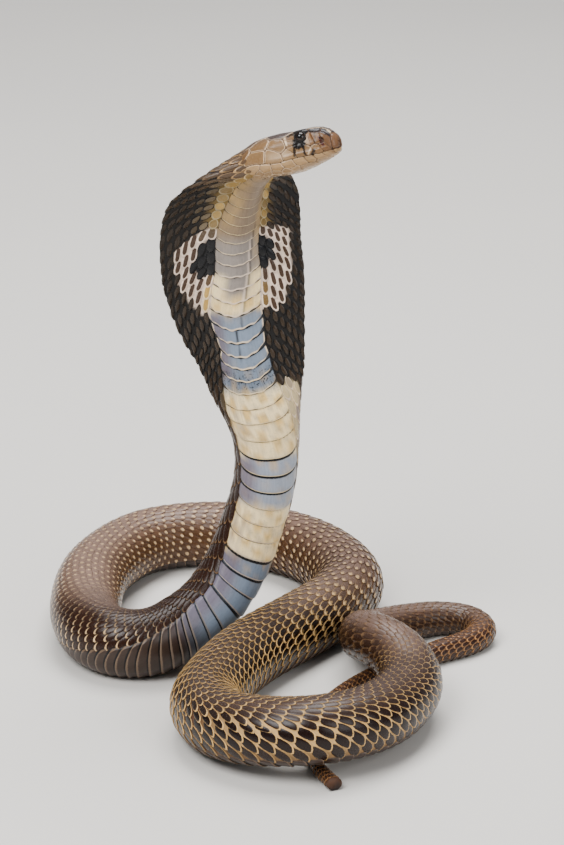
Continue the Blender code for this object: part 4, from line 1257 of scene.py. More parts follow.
# Each piece of scales: its name, where it begins and ends, and its slot.
SCALE_PIECES = (
    ("scales_hood", -4.5, 135.0, "hood_skin"), ("scales_forebody", 135.0, 340.0, "forebody_skin"),
    ("scales_rear_loop", 340.0, 604.0, "coil_skin"), ("scales_crossing", 604.0, 752.0, "coil_skin"),
    ("scales_front", 752.0, 892.0, "coil_skin"), ("scales_inner_loop", 892.0, 1012.0, "coil_skin"),
    ("scales_tail", 1012.0, 1206.0, "tail_skin"),
)
NECK_END = 34.0                 # where the rows no longer run outward
NECK_SCALE = 7.0                # mm, the longest step of a scale before it
COUNT_STEP = 0.5                # mm between the places where the scales are counted
NECK_SLACK = 0.15               # mm let pass in each of these steps
# How far a scale's tip leans round the body over one step, in rows, toward the belly where positive.
LEAN_STOPS = (
    (-5, 0.0), (4, -0.3), (14, -0.9), (30, -0.8), (42, -0.4), (75, -0.4), (100, -0.6), (120, 0.0),
    (150, 0.35), (220, 0.6), (700, 0.6), (760, 0.95), (850, 0.95), (900, 0.6), (1200, 0.6),
)
# Half width of a scale as a share of its row, half its length as a share of a step, and how its outline
# is shaped: 1 is an oval, more is pointed, less is square.
WIDTH_STOPS = (
    (-8, 0.56), (5, 0.5), (15, 0.4), (60, 0.38), (100, 0.4), (130, 0.5), (200, 0.56), (600, 0.56),
    (640, 0.55), (870, 0.55), (1200, 0.56),
)
REACH_STOPS = (
    (-8, 0.62), (20, 0.52), (100, 0.54), (140, 0.6), (600, 0.6), (640, 0.57), (870, 0.56), (1200, 0.58),
)
POINT_STOPS = (
    (0, 1.1), (20, 1.2), (100, 1.2), (140, 1.0), (250, 0.95), (700, 0.95), (760, 0.75), (870, 0.75),
    (900, 0.95), (1200, 0.95),
)
# Less than 1 where the outline's sides are flatter than its ends.
FLAT_SIDES = ((0, 1.0), (110, 1.0), (150, 0.9), (600, 0.85), (640, 0.72), (1200, 0.72))
STRETCH = 1.28                  # the most that a bend draws out a scale of the front length
DOME_STOPS = ((-8, 0.1), (6, 0.35), (100, 0.45), (130, 0.2), (180, 0.08), (1200, 0.08))     # mm
SCALE_RISE = 0.085              # rise of the free tip as a share of a step, up to the scale lift
FULL_STEP = 6.0                 # mm, the step below which scales grow thinner
SCALE_ROOT = 0.06               # mm that the scales stand in the skin
SCALE_FLOOR = 0.1               # mm, how low they may lie over the floor
# The steps of the rows that the scales' unwrap spans, and half a scale's size in it.
FIRST_STEP, ALL_STEPS = -10, 232
SCALE_PATCH = (0.0025, 0.0022)


def row_fade(row):
    """Over how many mm a row fades out toward the tail."""
    return ROW_FADE if row in HOOD_ROWS else TAIL_FADE


def row_places(at, side):
    """Centre arc and width of each row of scales on one side: two arrays of rows by places."""
    weights = np.array([np.full_like(at, width) for width in ROW_WIDTHS])
    for row, (start, end) in ROW_SPANS.items():
        weights[row] *= between(at, start, start + ROW_FADE, end - row_fade(row), end - 0.2 * row_fade(row))
    # on the crossing and the front length, the rows grow wider toward the belly
    spread = between(at, 600, 720, 900, 980)
    weights *= 1 + 0.7 * spread * ramp(np.arange(len(weights)), 7, 18)[:, None]
    weights[0] /= 2
    reach = table().girth_at(at) - read(PLATE_SHIFT, at) * side - read(PLATE_HALF_WIDTH, at)
    outer = np.cumsum(weights, axis=0)
    unit_width = reach / outer[-1]
    centres = (outer - weights / 2) * unit_width
    centres[0] = 0.0
    widths = weights * unit_width
    widths[0] *= 2
    return centres, widths


def row_steps(at):
    """How many steps each row's scales lie off those of the steady row."""
    steps = [np.zeros_like(at)]
    for row in range(1, len(ROW_WIDTHS)):
        abreast = ramp(at, *OBLIQUE) * (1 - math.exp(-(row - 1) / 1.5))
        end = ROW_SPANS.get(row, WHOLE_BODY)[1]
        abreast = abreast * (1 - ramp(at, end - 70.0, end - row_fade(row))) * (row not in HOOD_ROWS)
        steps.append(steps[-1] - 0.5 + (0.5 - ABREAST) * abreast)
    steps = np.array(steps)
    return steps - steps[STEADY_ROW]


@functools.lru_cache(maxsize=1)
def row_counts():
    """Places along the body, and each row's count of scales there.

    Where the neck spreads into the hood a row runs outward, and its scales follow closer on one another.
    """
    at = np.arange(-6.0, table().at[-1], COUNT_STEP)
    counts = plate_number(at) - row_steps(at)
    neck = at < NECK_END
    lengths = []
    for side in (-1, 1):
        for centre in row_places(at[neck], side)[0]:
            path = table().place(at[neck], side * centre, 0.0) / MM
            lengths.append(np.linalg.norm(np.diff(path, axis=0), axis=1))
    lengths = np.array(lengths).reshape(2, len(ROW_WIDTHS), -1).mean(axis=0)
    plain = np.diff(counts[:, neck], axis=1)
    crowded = np.maximum(plain, (lengths - NECK_SLACK) / NECK_SCALE)
    extra = np.cumsum((crowded - plain)[:, ::-1], axis=1)[:, ::-1]
    counts[:, :extra.shape[1]] -= extra
    return at, counts


def scale_sites(first, last):
    """Place, step length, row and side of each scale between two places."""
    at, counts = row_counts()
    sites = []
    for row in range(len(ROW_WIDTHS)):
        numbers = np.arange(math.ceil(counts[row][0]), counts[row][-1])
        places = np.interp(numbers, counts[row], at)
        steps = np.interp(numbers + 0.5, counts[row], at) - np.interp(numbers - 0.5, counts[row], at)
        start, end = ROW_SPANS.get(row, WHOLE_BODY)
        last_kept = end - (0.3 if row in HOOD_ROWS else 0.55) * row_fade(row)
        kept = (places >= max(first, start + 0.4 * ROW_FADE)) & (places < min(last, last_kept))
        for side in ((1,) if row == 0 else (-1, 1)):
            sites += [(place, step, row, side) for place, step in zip(places[kept], steps[kept])]
    return np.array(sites)


def build_scales(name, first, last, seed):
    """The scales of one length of the body, in one mesh."""
    palette, body = hues(), table()
    sites = scale_sites(first, last)
    chance = np.random.default_rng(seed).random((len(sites), 3))
    middle, pitch, row, side = sites[:, 0], sites[:, 1], sites[:, 2].astype(int), sites[:, 3]
    turn = np.arange(SCALE_POINTS) / SCALE_POINTS * 2 * math.pi
    out = np.array([ring[0] for ring in SCALE_RINGS])
    middle_arc = np.empty(len(sites))
    for way in (-1, 1):
        chosen = side == way
        centres = row_places(middle[chosen], way)[0]
        middle_arc[chosen] = way * centres[row[chosen], np.arange(chosen.sum())]
    inner, edge, _, style = coat_colours(middle, middle_arc, palette)
    # the scales in the hood's net and beside the throat are fuller
    netted = ramp(style[:, :1], 0.3, 0.4) * (1 - ramp(middle[:, None], 90, 100))
    knobs = ((1 - ramp(off_plates(middle, middle_arc), 5.0, 12.0)) * (1 - ramp(middle, 34, 42)))[:, None]
    point = read(POINT_STOPS, middle)[:, None] - 0.28 * netted
    cosine = np.sign(np.cos(turn)) * np.abs(np.cos(turn)) ** point
    sine = np.sign(np.sin(turn)) * np.abs(np.sin(turn)) ** (point * read(FLAT_SIDES, middle)[:, None])
    reach = read(REACH_STOPS, middle)[:, None] + 0.065 * netted + 0.04 * knobs
    wide = read(WIDTH_STOPS, middle)[:, None] + 0.09 * netted + 0.08 * knobs
    reach = reach * (1 + 0.06 * (chance[:, :1] - 0.5))
    wide = wide * (1 + 0.1 * (chance[:, 1:2] - 0.5))
    # on the outside of the front bend the skin shows between the scales, which keep their length
    apart = body.place(middle + 0.5, middle_arc, 0.0) - body.place(middle - 0.5, middle_arc, 0.0)
    stretch = np.linalg.norm(apart, axis=-1) / MM
    front = between(middle, 730, 770, 860, 890)
    reach = reach / (1 + front * np.maximum(stretch / STRETCH - 1, 0))[:, None]

    def with_middle(values):
        """A scale's rings from its outline, and its middle point."""
        rings = (out[:, None] * values[:, None]).reshape(len(sites), -1)
        return np.append(rings, np.zeros((len(sites), 1)), axis=1)

    along, beside = with_middle(reach * cosine), with_middle(wide * sine)
    at = middle[:, None] + along * pitch[:, None]
    arc, row_width = np.empty_like(at), np.empty(len(sites))
    for way in (-1, 1):
        chosen = side == way
        centres, widths = row_places(at[chosen].ravel(), way)
        rows = np.repeat(row[chosen], at.shape[1])
        picked = np.arange(len(rows))
        places = centres[rows, picked] + beside[chosen].ravel() * widths[rows, picked]
        arc[chosen] = places.reshape(-1, at.shape[1])
        row_width[chosen] = widths[rows, picked].reshape(-1, at.shape[1])[:, -1]
    lean = read(LEAN_STOPS, middle) * row_width * ramp(arc[:, -1] / body.girth_at(middle), 0.02, 0.3)
    lean *= 1 - (1 - ramp(off_plates(middle, middle_arc), 0.0, 7.0)) * (middle < 130)
    arc = (arc + lean[:, None] * along) * side[:, None]
    heights = np.append(np.repeat([ring[1] for ring in SCALE_RINGS], SCALE_POINTS), SCALE_MIDDLE)
    lift = np.minimum(SCALE_RISE * pitch, size("scale_lift"))[:, None]
    thick = size("scale_thickness") * np.minimum(pitch / FULL_STEP, 1.0)[:, None]
    rise = -SCALE_ROOT + lift * (along + 0.6) / 1.2 + heights[None] * thick
    # the scales are domed, most on the hood
    rise = rise + read(DOME_STOPS, middle)[:, None] * (1 - np.append(np.repeat(out, SCALE_POINTS), 0.0) ** 2)
    points = body.place(at, arc, rise - skin_depth(at), floor=SCALE_FLOOR)
    mesh = repeated_mesh(name, points, ring_faces(len(SCALE_RINGS), SCALE_POINTS))

    def spread(values):
        """A row for each scale as a row for each of its points."""
        shape = (len(sites), at.shape[1], values.shape[-1])
        return np.broadcast_to(values[:, None], shape).reshape(-1, values.shape[-1])

    for label, values in (("hue", inner), ("edge", edge), ("style", style)):
        store(mesh, label, spread(values))
    # the cells of the net are drawn out along the rows
    rim = with_middle(np.hypot(np.sin(turn), np.cos(turn) * (1 - 0.5 * netted)))
    store(mesh, "marks", stacked(rim, along / reach, chance[:, :1]).reshape(-1, 3))
    round_body = (arc[:, -1] / body.girth_at(middle) + 1) / 2
    root = stacked(inset((plate_number(middle) - FIRST_STEP) / ALL_STEPS, 0.01), inset(round_body))
    patch = stacked(along * SCALE_PATCH[0], beside * SCALE_PATCH[1])
    store_bake_map(mesh, (root[:, None] + patch).reshape(-1, 2))
    return add_piece(name, mesh, "Scales")


# The head shields
UPPER_SHIELDS = (
    # the middle in mm behind the snout and arc from the midline, how much it outgrows its neighbours, hue,
    # share of that hue
    # the crown, from the internasals to the occipitals, its dark grey partly a painted sheen of the light
    # from above
    (4.4, 3.0, 0.0, "crown_grey_and_sheen", 0.75), (9.2, 3.6, 4.0, "crown_grey_and_sheen", 0.8), (15.2, 0.0, 6.0, "crown_grey_and_sheen", 0.8),
    (14.8, 6.3, 4.0, "crown_grey_and_sheen", 0.8), (25.5, 5.0, 34.0, "crown_grey_and_sheen", 0.75),
    (34.5, 3.5, 2.0, "crown_grey_and_sheen", 0.6), (37.0, 8.4, 2.0, "crown_grey_and_sheen", 0.35),
    (39.5, 2.0, 0.0, "crown_grey_and_sheen", 0.5),
    # before and behind the nostril, and before the eye
    (4.0, 8.2, 0.0, "head_rust", 0.4), (7.8, 9.6, 0.0, "head_gold", 0.4), (11.6, 11.0, 0.0, "head_gold", 0.3),
    # behind the eye, and the temples
    (19.3, 10.2, 0.0, "head_tan", 0.3), (19.6, 13.0, -2.0, "head_pale", 0.2),
    (18.6, 16.0, -2.0, "head_pale", 0.4), (25.0, 14.6, 8.0, "head_pale", 0.2),
    (33.6, 12.2, 8.0, "head_pale", 0.15),
    # the upper lip, and the rear of the cheek
    (4.8, 13.2, 0.0, "head_rust", 0.3), (8.2, 15.2, 0.0, "head_pale", 0.25),
    (11.8, 16.6, 0.0, "head_pale", 0.2), (15.4, 17.2, 0.0, "head_pale", 0.2),
    (20.6, 18.8, 3.0, "head_pale", 0.6), (27.2, 19.8, 8.0, "head_pale", 0.5),
    (35.6, 18.0, 10.0, "head_pale", 0.3), (39.4, 12.4, 0.0, "head_tan", 0.4),
)
# Lines drawn over the shields of each side, faded at their edges.
HEAD_MARKS = (
    # hue, share, the two ends as mm behind the snout and arc, half width
    # the snout's top: its dark grey with a painted sheen, a dark line, and two pale lines that are painted
    # highlights
    ("crown_grey_and_sheen", 0.9, (3.0, 3.2), (13.0, 5.6), 2.8), ("head_dark", 0.75, (3.5, 3.6), (12.5, 6.9), 0.35),
    ("head_rim_and_highlight", 0.75, (4.6, 2.3), (12.0, 5.5), 0.3), ("head_rim_and_highlight", 0.85, (0.8, 3.6), (3.4, 2.8), 0.8),
    ("head_gold", 0.75, (7.4, 9.4), (9.8, 9.2), 1.3), ("head_gold", 0.25, (4.6, 13.0), (8.4, 15.4), 1.8),
    ("head_maroon", 0.95, (6.4, 9.2), (5.7, 12.0), 0.6), ("head_dark", 0.6, (8.4, 7.4), (8.8, 11.8), 0.3),
    ("head_rim_and_highlight", 0.2, (12.4, 10.8), (11.8, 13.4), 0.8), ("head_rim_and_highlight", 0.7, (10.3, 14.0), (12.4, 18.2), 0.12),
    ("head_dark", 0.95, (9.3, 15.2), (11.1, 18.4), 0.4),
    ("head_dark", 0.95, (13.9, 13.6), (13.7, 18.6), 0.35),
    ("head_dark", 0.95, (17.4, 12.0), (18.0, 18.8), 0.45),
    ("head_dark", 1.0, (14.8, 9.4), (15.3, 13.6), 2.5),
    ("head_dark", 0.9, (15.3, 13.6), (15.7, 14.7), 0.9), ("head_dark", 0.9, (14.6, 7.3), (9.6, 7.0), 0.6),
    ("head_dark", 0.85, (17.6, 8.2), (20.0, 9.4), 0.7), ("head_rim_and_highlight", 0.7, (21.6, 10.0), (20.6, 14.0), 0.35),
)
LOWER_SHIELDS = (
    # mm behind the snout, arc beyond the mouth line, how much it outgrows its neighbours
    # the lower lip
    (4.0, 2.2, 0.0), (8.0, 2.2, 0.0), (12.0, 2.2, 0.0), (16.5, 2.3, 0.0), (21.5, 2.4, 0.0), (27.0, 2.4, 0.0),
    (32.5, 2.6, 0.0), (37.6, 2.6, 0.0),
    # the chin and the throat
    (8.2, 6.2, 5.0), (15.2, 7.4, 8.0), (11.5, 6.0, -3.0), (19.5, 6.0, 0.0), (24.0, 6.2, 0.0),
    (28.5, 6.4, 0.0), (33.0, 6.6, 0.0), (21.5, 9.6, 0.0), (26.3, 9.8, 0.0), (31.0, 10.0, 0.0),
    (36.5, 5.5, 0.0), (36.0, 10.5, 0.0), (24.0, 12.8, 0.0), (28.8, 13.2, 0.0), (33.5, 13.6, 0.0),
    (38.6, 8.0, 0.0), (38.2, 13.2, 0.0),
)
SHIELD_POINTS = 48              # points round a shield
SHIELD_RINGS = ((1.0, -0.75), (0.99, 0.0), (0.94, 0.7), (0.86, 0.92), (0.75, 0.98), (0.62, 1.0), (0.48, 1.01),
                (0.34, 1.02), (0.18, 1.03))
SHIELD_CORNER = 26.0            # how sharp a shield's corners are
SHIELD_REACH = 14.0             # mm, the most that a shield reaches from its middle
NEIGHBOURS = (0.5, 24.0)        # mm between the middles of two shields that may meet
SHIELD_EDGE = 0.13              # the pale edge's width as a share of a shield
SHIELD_MARGIN = 0.1             # mm between them and the mouth line or the chin's midline
SHIELD_END = 1.0                # mm before the nape where they end
EYE_HOLE = 2.5                  # mm, radius of the gap in them round the eye
NOSTRIL_GAP = 0.25              # mm between them and a nostril
SNOUT_SHIELD = 2.2              # mm behind the snout that its end shields reach
SNOUT_START = 0.12              # mm behind the snout where these begin
SNOUT_ROOT = 0.35               # mm that they stand in the skin
SNOUT_GRID = (8, 25)            # points along and across one of them
LIP_GAP = 0.35                  # mm between them and the mouth line
HEAD_MAP = 90                   # mm that the shields' unwrap spans each way


def shield_seeds():
    """Place, growth and hue of every shield of one side, and whether it lies above the mouth."""
    palette = hues()
    seeds = []
    for snout, arc, growth, tint, share in UPPER_SHIELDS:
        colour = mixed(palette["head_tan"], palette[tint], share)
        seeds.append((snout, arc, growth, colour, True))
    for snout, beyond, growth in LOWER_SHIELDS:
        arc = beyond + table().mouth_at(snout - HEAD_LENGTH)
        colour = mixed(palette["head_pale"], palette["throat"], min(beyond / 14.0, 1.0))
        seeds.append((snout, float(arc), growth, colour, False))
    return seeds


def shield_reach(seed, seeds, directions):
    """How far a shield reaches from its middle in each direction, up to its neighbours' borders."""
    snout, arc, growth, _, upper = seed
    reaches = [np.full(len(directions), SHIELD_REACH)]
    both_sides = [(other, way) for other in seeds for way in (1, -1) if other[4] == upper]
    for (other_snout, other_arc, other_growth, _, _), way in both_sides:
        apart = np.array([other_snout - snout, way * other_arc - arc])
        gap = np.hypot(*apart)
        if NEIGHBOURS[0] <= gap <= NEIGHBOURS[1]:
            facing = directions @ apart
            border = (gap ** 2 + growth - other_growth) / (2 * np.maximum(facing, 1e-6))
            reaches.append(np.where(facing > 1e-6, border, SHIELD_REACH))
    steps = np.linspace(0.0, SHIELD_REACH, 141)
    along = snout + directions[:, :1] * steps
    across = arc + directions[:, 1:] * steps
    mouth = table().mouth_at(along - HEAD_LENGTH)
    girth = table().girth_at(along - HEAD_LENGTH)
    past = np.abs(across) - mouth
    if upper:
        beyond = past > -SHIELD_MARGIN
    else:
        beyond = (past < SHIELD_MARGIN) | (np.abs(across) > girth - SHIELD_MARGIN)
    beyond |= (along < SNOUT_SHIELD) | (along > HEAD_LENGTH - SHIELD_END)
    eye_at, eye_arc = eye_spot()
    nostril_at, nostril_arc, nostril = NOSTRIL
    beyond |= np.hypot(along - eye_at, np.abs(across) - eye_arc) < EYE_HOLE
    beyond |= np.hypot(along - nostril_at, np.abs(across) - nostril_arc) < nostril + NOSTRIL_GAP
    reaches.append(np.where(beyond.any(axis=1), steps[beyond.argmax(axis=1)], SHIELD_REACH))
    reaches = np.maximum(np.array(reaches) - size("shield_gap"), 0.05)
    return (reaches ** -SHIELD_CORNER).sum(axis=0) ** (-1 / SHIELD_CORNER)


def shield_rows(seed, seeds, way):
    """Places and heights of a shield's points on one side of the head."""
    turn = np.arange(SHIELD_POINTS) / SHIELD_POINTS * 2 * math.pi
    directions = np.stack([np.cos(turn), np.sin(turn)], axis=1)
    reach = shield_reach(seed, seeds, directions)
    snout, arc = seed[:2]
    rings, heights = zip(*SHIELD_RINGS)
    out = np.array(rings)[:, None] * reach
    at = np.append((snout + out * directions[:, 0]).ravel(), snout) - HEAD_LENGTH
    across = np.append((arc + out * directions[:, 1]).ravel(), arc)
    rise = np.append(np.repeat(heights, SHIELD_POINTS), heights[-1])
    rim = np.append(np.repeat(rings, SHIELD_POINTS), 0.0)
    return at, across * way, rise, rim


def head_tints(at, arc, colour, palette):
    """A shield's colour with the marks of the head over it."""
    snout, side = at + HEAD_LENGTH, np.abs(arc)
    rows = np.broadcast_to(colour, at.shape + (3,))
    rust = (1 - ramp(snout, 2.5, 6.5)) * (1 - ramp(side, 12, 17))
    rows = mixed(rows, palette["head_rust"], 0.5 * rust)
    cheek = between(snout, 19.0, 22.0, 27.0, 33.0) * bump(side, table().mouth_at(at) - 3.6, 1.8)
    # the grey along the temples is partly a painted sheen of the light from above
    temple = ramp(snout, 18.0, 22.0) * bump(side, 10.0, 2.2)
    rows = mixed(mixed(rows, palette["head_rim_and_highlight"], 0.35 * cheek), palette["crown_grey_and_sheen"], 0.3 * temple)
    wobble = 0.2 * np.sin(1.9 * snout + 2.3 * side) + 0.14 * np.sin(4.7 * snout - 3.1 * side)
    for hue_name, share, start, end, half in HEAD_MARKS:
        start, way = np.array(start), np.array(end) - np.array(start)
        apart = stacked(snout, side) - start
        along = np.clip(apart @ way / (way @ way), 0, 1)
        reach = np.linalg.norm(apart - along[..., None] * way, axis=-1) + wobble * min(half, 1.0)
        rows = mixed(rows, palette[hue_name], share * (1 - ramp(reach, half - 0.2, half + 0.35)))
    return rows


def build_shields():
    """The shields of the head in one mesh, with a groove between them."""
    palette, seeds = hues(), shield_seeds()
    rng = np.random.default_rng(31)
    points, charts, rows = [], [], {"hue": [], "edge": [], "marks": [], "style": []}
    for seed in seeds:
        snout, middle_arc, _, colour, _ = seed
        # the rims are paler behind the eye, and faint on the crown
        rim_share = 0.25 + 0.5 * ramp(snout, 17, 22)
        rim_share = rim_share * (1 - 0.6 * (middle_arc < 6.5) * (snout < 30))
        rim_colour = mixed(colour, palette["head_rim_and_highlight"], rim_share)
        for way in ((1, -1) if middle_arc > 0 else (1,)):
            at, arc, rise, rim = shield_rows(seed, seeds, way)
            points.append(table().place(at, arc, size("shield_lift") * rise - skin_depth(at)))
            charts.append(stacked((at + HEAD_LENGTH + 3) / HEAD_MAP, 0.5 + arc / HEAD_MAP))
            rows["hue"].append(head_tints(at, arc, colour, palette))
            rows["edge"].append(head_tints(at, arc, rim_colour, palette))
            rows["marks"].append(stacked(rim, 0.0, rng.random()))
            rows["style"].append(np.broadcast_to([SHIELD_EDGE, 0.0, 0.0], (len(at), 3)))
    mesh = repeated_mesh("head_shields", np.array(points), ring_faces(len(SHIELD_RINGS), SHIELD_POINTS))
    for name, values in rows.items():
        store(mesh, name, np.concatenate(values))
    store_bake_map(mesh, np.concatenate(charts))
    return add_piece("head_shields", mesh, "Head shields")


def build_snout_shields():
    """The rostral over the snout's end and the mental under it, each a sheet wrapped over the tip."""
    palette = hues()
    along, across = SNOUT_GRID
    way = np.linspace(SNOUT_START, SNOUT_SHIELD - size("shield_gap"), along)[:, None]
    spot = np.linspace(-1.0, 1.0, across)[None]
    at = way * np.ones_like(spot) - HEAD_LENGTH
    mouth, girth, depth = table().mouth_at(at), table().girth_at(at), skin_depth(at)
    rise = size("shield_lift") * (1 - np.maximum(np.abs(spot) ** 10, (way / SNOUT_SHIELD) ** 14) * 1.2)
    sheets, tints = [], []
    for arc, base in ((spot * (mouth - LIP_GAP), "head_rust"),
                      (girth - spot * (girth - mouth - LIP_GAP), "head_pale")):
        top, bottom = [table().place(at, arc, height - depth) for height in (rise, -SNOUT_ROOT)]
        sheets.append(np.concatenate([top, bottom]).reshape(-1, 3))
        tints.append(np.tile(mixed(palette["head_tan"], palette[base], 0.75), (2 * at.size, 1)))
    mesh = repeated_mesh("snout_shields", np.array(sheets), sheet_faces(along, across))
    count = len(mesh.vertices)
    store(mesh, "hue", np.concatenate(tints))
    plain = {"edge": palette["head_pale"], "marks": (0.3, 0.0, 0.5), "style": (0.16, 0.0, 0.0)}
    for label, value in plain.items():
        store(mesh, label, np.tile(value, (count, 1)))
    grid = np.meshgrid(np.linspace(0, 1, along), np.linspace(0, 1, across), indexing="ij")
    way, spot = [np.tile(rows.ravel(), 4) for rows in grid]
    half = np.repeat((0.0, 0.5), count // 2)
    store_bake_map(mesh, stacked(inset(way, 0.05), 0.02 + half + 0.45 * spot))
    return add_piece("snout_shields", mesh, "Head shields")


# The eyes
EYE_RIM = (2.3, 0.34, 1.15)     # mm: the rim's radius, half its thickness, and how far it stands out
EYE_FACES = (64, 40)            # faces round an eyeball, and from its front to its back
RIM_FACES = (64, 16)            # faces round the eye's rim, and round its section


def finished(shape, name, turn, place=(0, 0, 0)):
    """The mesh of a shape, turned and put in its place, with its faces outward."""
    bmesh.ops.rotate(shape, verts=shape.verts, cent=(0, 0, 0), matrix=turn)
    bmesh.ops.translate(shape, verts=shape.verts, vec=place)
    bmesh.ops.recalc_face_normals(shape, faces=shape.faces)
    mesh = bpy.data.meshes.new(name)
    shape.to_mesh(mesh)
    shape.free()
    return mesh


def build_eyes():
    """Two dark eyeballs with a round pupil, each in a ring of black skin."""
    palette = hues()
    snout, side, height = EYE_AT
    eye_at, eye_arc = eye_spot()
    radius, (rim, rim_thick, rim_out) = size("eye_radius"), EYE_RIM
    for name, node, way in (("eyeball_left", "eye_left", 1), ("eyeball_right", "eye_right", -1)):
        centre = head_point(snout, way * side, height)
        outward = table().read(table().normals, eye_at - HEAD_LENGTH, way * eye_arc)
        turn = Vector(outward).to_track_quat("Z", "Y").to_matrix().to_4x4()
        ball = bmesh.new()
        bmesh.ops.create_uvsphere(ball, u_segments=EYE_FACES[0], v_segments=EYE_FACES[1], radius=radius * MM)
        mesh = finished(ball, name, turn, Vector(centre) * MM)
        facing = (points_of(mesh) / MM - centre) @ outward / radius
        from_middle = np.degrees(np.arccos(np.clip(facing, -1, 1))) / 90
        store(mesh, "marks", np.stack([from_middle] * 3, axis=1))
        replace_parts(add_piece(name, mesh, "Eye"), node)
        ring = bmesh.new()
        bmesh.ops.create_circle(ring, segments=RIM_FACES[1], radius=rim_thick * MM)
        bmesh.ops.rotate(ring, verts=ring.verts, cent=(0, 0, 0), matrix=Matrix.Rotation(math.pi / 2, 3, "X"))
        bmesh.ops.translate(ring, verts=ring.verts, vec=(rim * MM, 0, 0))
        bmesh.ops.spin(ring, geom=ring.verts[:] + ring.edges[:], cent=(0, 0, 0), axis=(0, 0, 1),
                       angle=2 * math.pi, steps=RIM_FACES[0], use_merge=True)
        mesh = finished(ring, name + "_rim", turn)
        place_points(mesh, (points_of(mesh) / MM + centre + rim_out * outward) * MM)
        store(mesh, "hue", np.tile(palette["head_dark"] * 0.6, (len(mesh.vertices), 1)))
        add_piece(name + "_rim", mesh, "Skin")


# The stage
CAMERA_PLACE = (0.0043, -1.5424, 0.6801)
CAMERA_DOWN = math.radians(20.0)
CAMERA_LENS = 153.6             # mm, with the film's width along the picture's height
FILM_WIDTH = 36.0               # mm
FLOOR_HALF = 6.0                # m, half the floor's side
FLOOR_CELLS = 8
SKY = ((0.9, 0.94, 1.0, 1.0), 0.3)      # colour and strength
LIGHTS_AIM = (0.0, 0.02, 0.1)
LIGHTS = (
    # name, place, watts, width in m
    ("key", (-0.7, -0.9, 1.5), 37.0, 0.9), ("fill", (1.1, -1.0, 0.8), 11.0, 1.0),
    ("top", (0.1, 0.5, 1.6), 38.0, 1.1),
)


def build_stage():
    """A plain pale floor, soft studio light and the camera."""
    scene = bpy.context.scene
    grid = bmesh.new()
    bmesh.ops.create_grid(grid, x_segments=FLOOR_CELLS, y_segments=FLOOR_CELLS, size=FLOOR_HALF)
    mesh = bpy.data.meshes.new("floor")
    grid.to_mesh(mesh)
    grid.free()
    floor = bpy.data.objects.new("floor", mesh)
    scene.collection.objects.link(floor)
    material = bpy.data.materials.new("Floor")
    material.use_nodes = True
    wire = Wiring(material.node_tree)
    tone = wire.add(0.94, wire.times(wire.noise(3.0), 0.08))
    wire.fill(material.node_tree.nodes["Principled BSDF"], {
        "Base Color": wire.shaded((*scene.cobra_colours.floor, 1.0), tone), "Roughness": 0.9})
    mesh.materials.append(material)
    world = bpy.data.worlds.new("Studio")
    world.use_nodes = True
    colour, strength = SKY
    Wiring(world.node_tree).fill(world.node_tree.nodes["Background"], {"Color": colour, "Strength": strength})
    scene.world = world
    for name, place, watts, width in LIGHTS:
        data = bpy.data.lights.new(name, "AREA")
        data.energy = watts
        data.size = width
        light = bpy.data.objects.new(name, data)
        light.location = place
        aim = Vector(LIGHTS_AIM) - Vector(place)
        light.rotation_euler = aim.to_track_quat("-Z", "Y").to_euler()
        scene.collection.objects.link(light)
    data = bpy.data.cameras.new("camera")
    data.lens = CAMERA_LENS
    data.sensor_width = FILM_WIDTH
    camera = bpy.data.objects.new("camera", data)
    camera.location = CAMERA_PLACE
    camera.rotation_euler = (math.pi / 2 - CAMERA_DOWN, 0.0, 0.0)
    scene.collection.objects.link(camera)
    scene.camera = camera


# The operators
class COBRA_OT_skin(bpy.types.Operator):
    """Make the skin that stands for the flesh"""

    bl_idname = "cobra.skin"
    bl_label = "Skin"

    def execute(self, context):
        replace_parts(build_skin(), *FLESH_NODES)
        return {"FINISHED"}


class COBRA_OT_plates(bpy.types.Operator):
    """Make the belly plates"""

    bl_idname = "cobra.plates"
    bl_label = "Belly plates"

    def execute(self, context):
        build_plates()
        return {"FINISHED"}


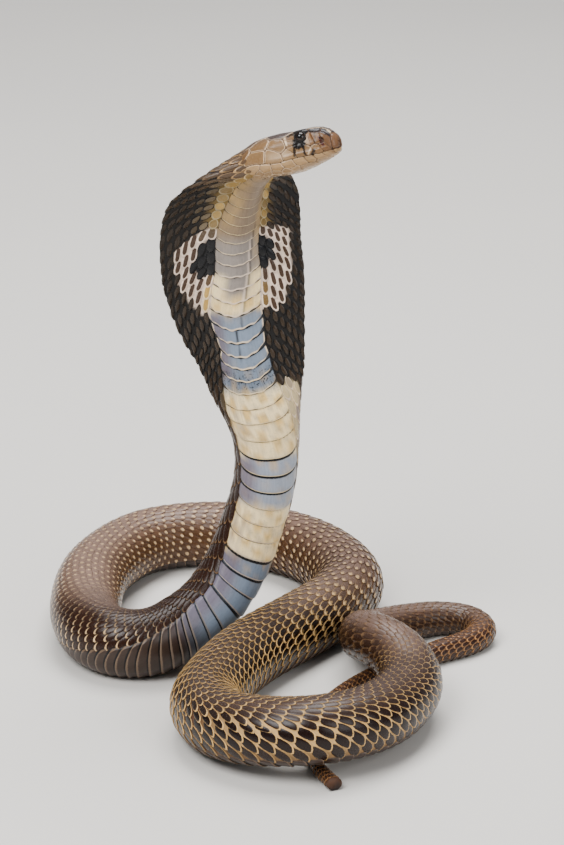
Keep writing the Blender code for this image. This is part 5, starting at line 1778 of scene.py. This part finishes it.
class COBRA_OT_scales(bpy.types.Operator):
    """Make the scales, one piece for each length of the body"""

    bl_idname = "cobra.scales"
    bl_label = "Scales"

    def execute(self, context):
        for seed, (name, first, last, slot) in enumerate(SCALE_PIECES):
            build_scales(name, first, last, seed)
        return {"FINISHED"}


class COBRA_OT_shields(bpy.types.Operator):
    """Make the shields of the head"""

    bl_idname = "cobra.shields"
    bl_label = "Head shields"

    def execute(self, context):
        build_shields()
        build_snout_shields()
        return {"FINISHED"}


class COBRA_OT_eyes(bpy.types.Operator):
    """Make the eyes and their rims"""

    bl_idname = "cobra.eyes"
    bl_label = "Eyes"

    def execute(self, context):
        build_eyes()
        return {"FINISHED"}


class COBRA_OT_stage(bpy.types.Operator):
    """Make the floor, the lights and the camera"""

    bl_idname = "cobra.stage"
    bl_label = "Stage"

    def execute(self, context):
        build_stage()
        return {"FINISHED"}


OPERATORS = (COBRA_OT_skin, COBRA_OT_plates, COBRA_OT_scales, COBRA_OT_shields, COBRA_OT_eyes, COBRA_OT_stage)


class COBRA_PT_sidebar(bpy.types.Panel):
    """The cobra's sizes, colours and pieces"""

    bl_idname = "COBRA_PT_sidebar"
    bl_label = "Cobra"
    bl_space_type = "VIEW_3D"
    bl_region_type = "UI"
    bl_category = "Cobra"

    def draw(self, context):
        for settings in (context.scene.cobra_sizes, context.scene.cobra_colours):
            box = self.layout.box()
            for name in settings.__annotations__:
                box.prop(settings, name)
        for operator in OPERATORS:
            self.layout.operator(operator.bl_idname)


CLASSES = (CobraSizes, CobraColours, *OPERATORS, COBRA_PT_sidebar)


def register():
    for item in CLASSES:
        bpy.utils.register_class(item)
    bpy.types.Scene.cobra_sizes = PointerProperty(type=CobraSizes)
    bpy.types.Scene.cobra_colours = PointerProperty(type=CobraColours)


def unregister():
    del bpy.types.Scene.cobra_sizes
    del bpy.types.Scene.cobra_colours
    for item in reversed(CLASSES):
        bpy.utils.unregister_class(item)


def main():
    register()
    bpy.ops.cobra.stage()
    bpy.ops.cobra.skin()
    bpy.ops.cobra.plates()
    bpy.ops.cobra.scales()
    bpy.ops.cobra.shields()
    bpy.ops.cobra.eyes()
    bpy.context.view_layer.update()


if __name__ == "__main__":
    main()
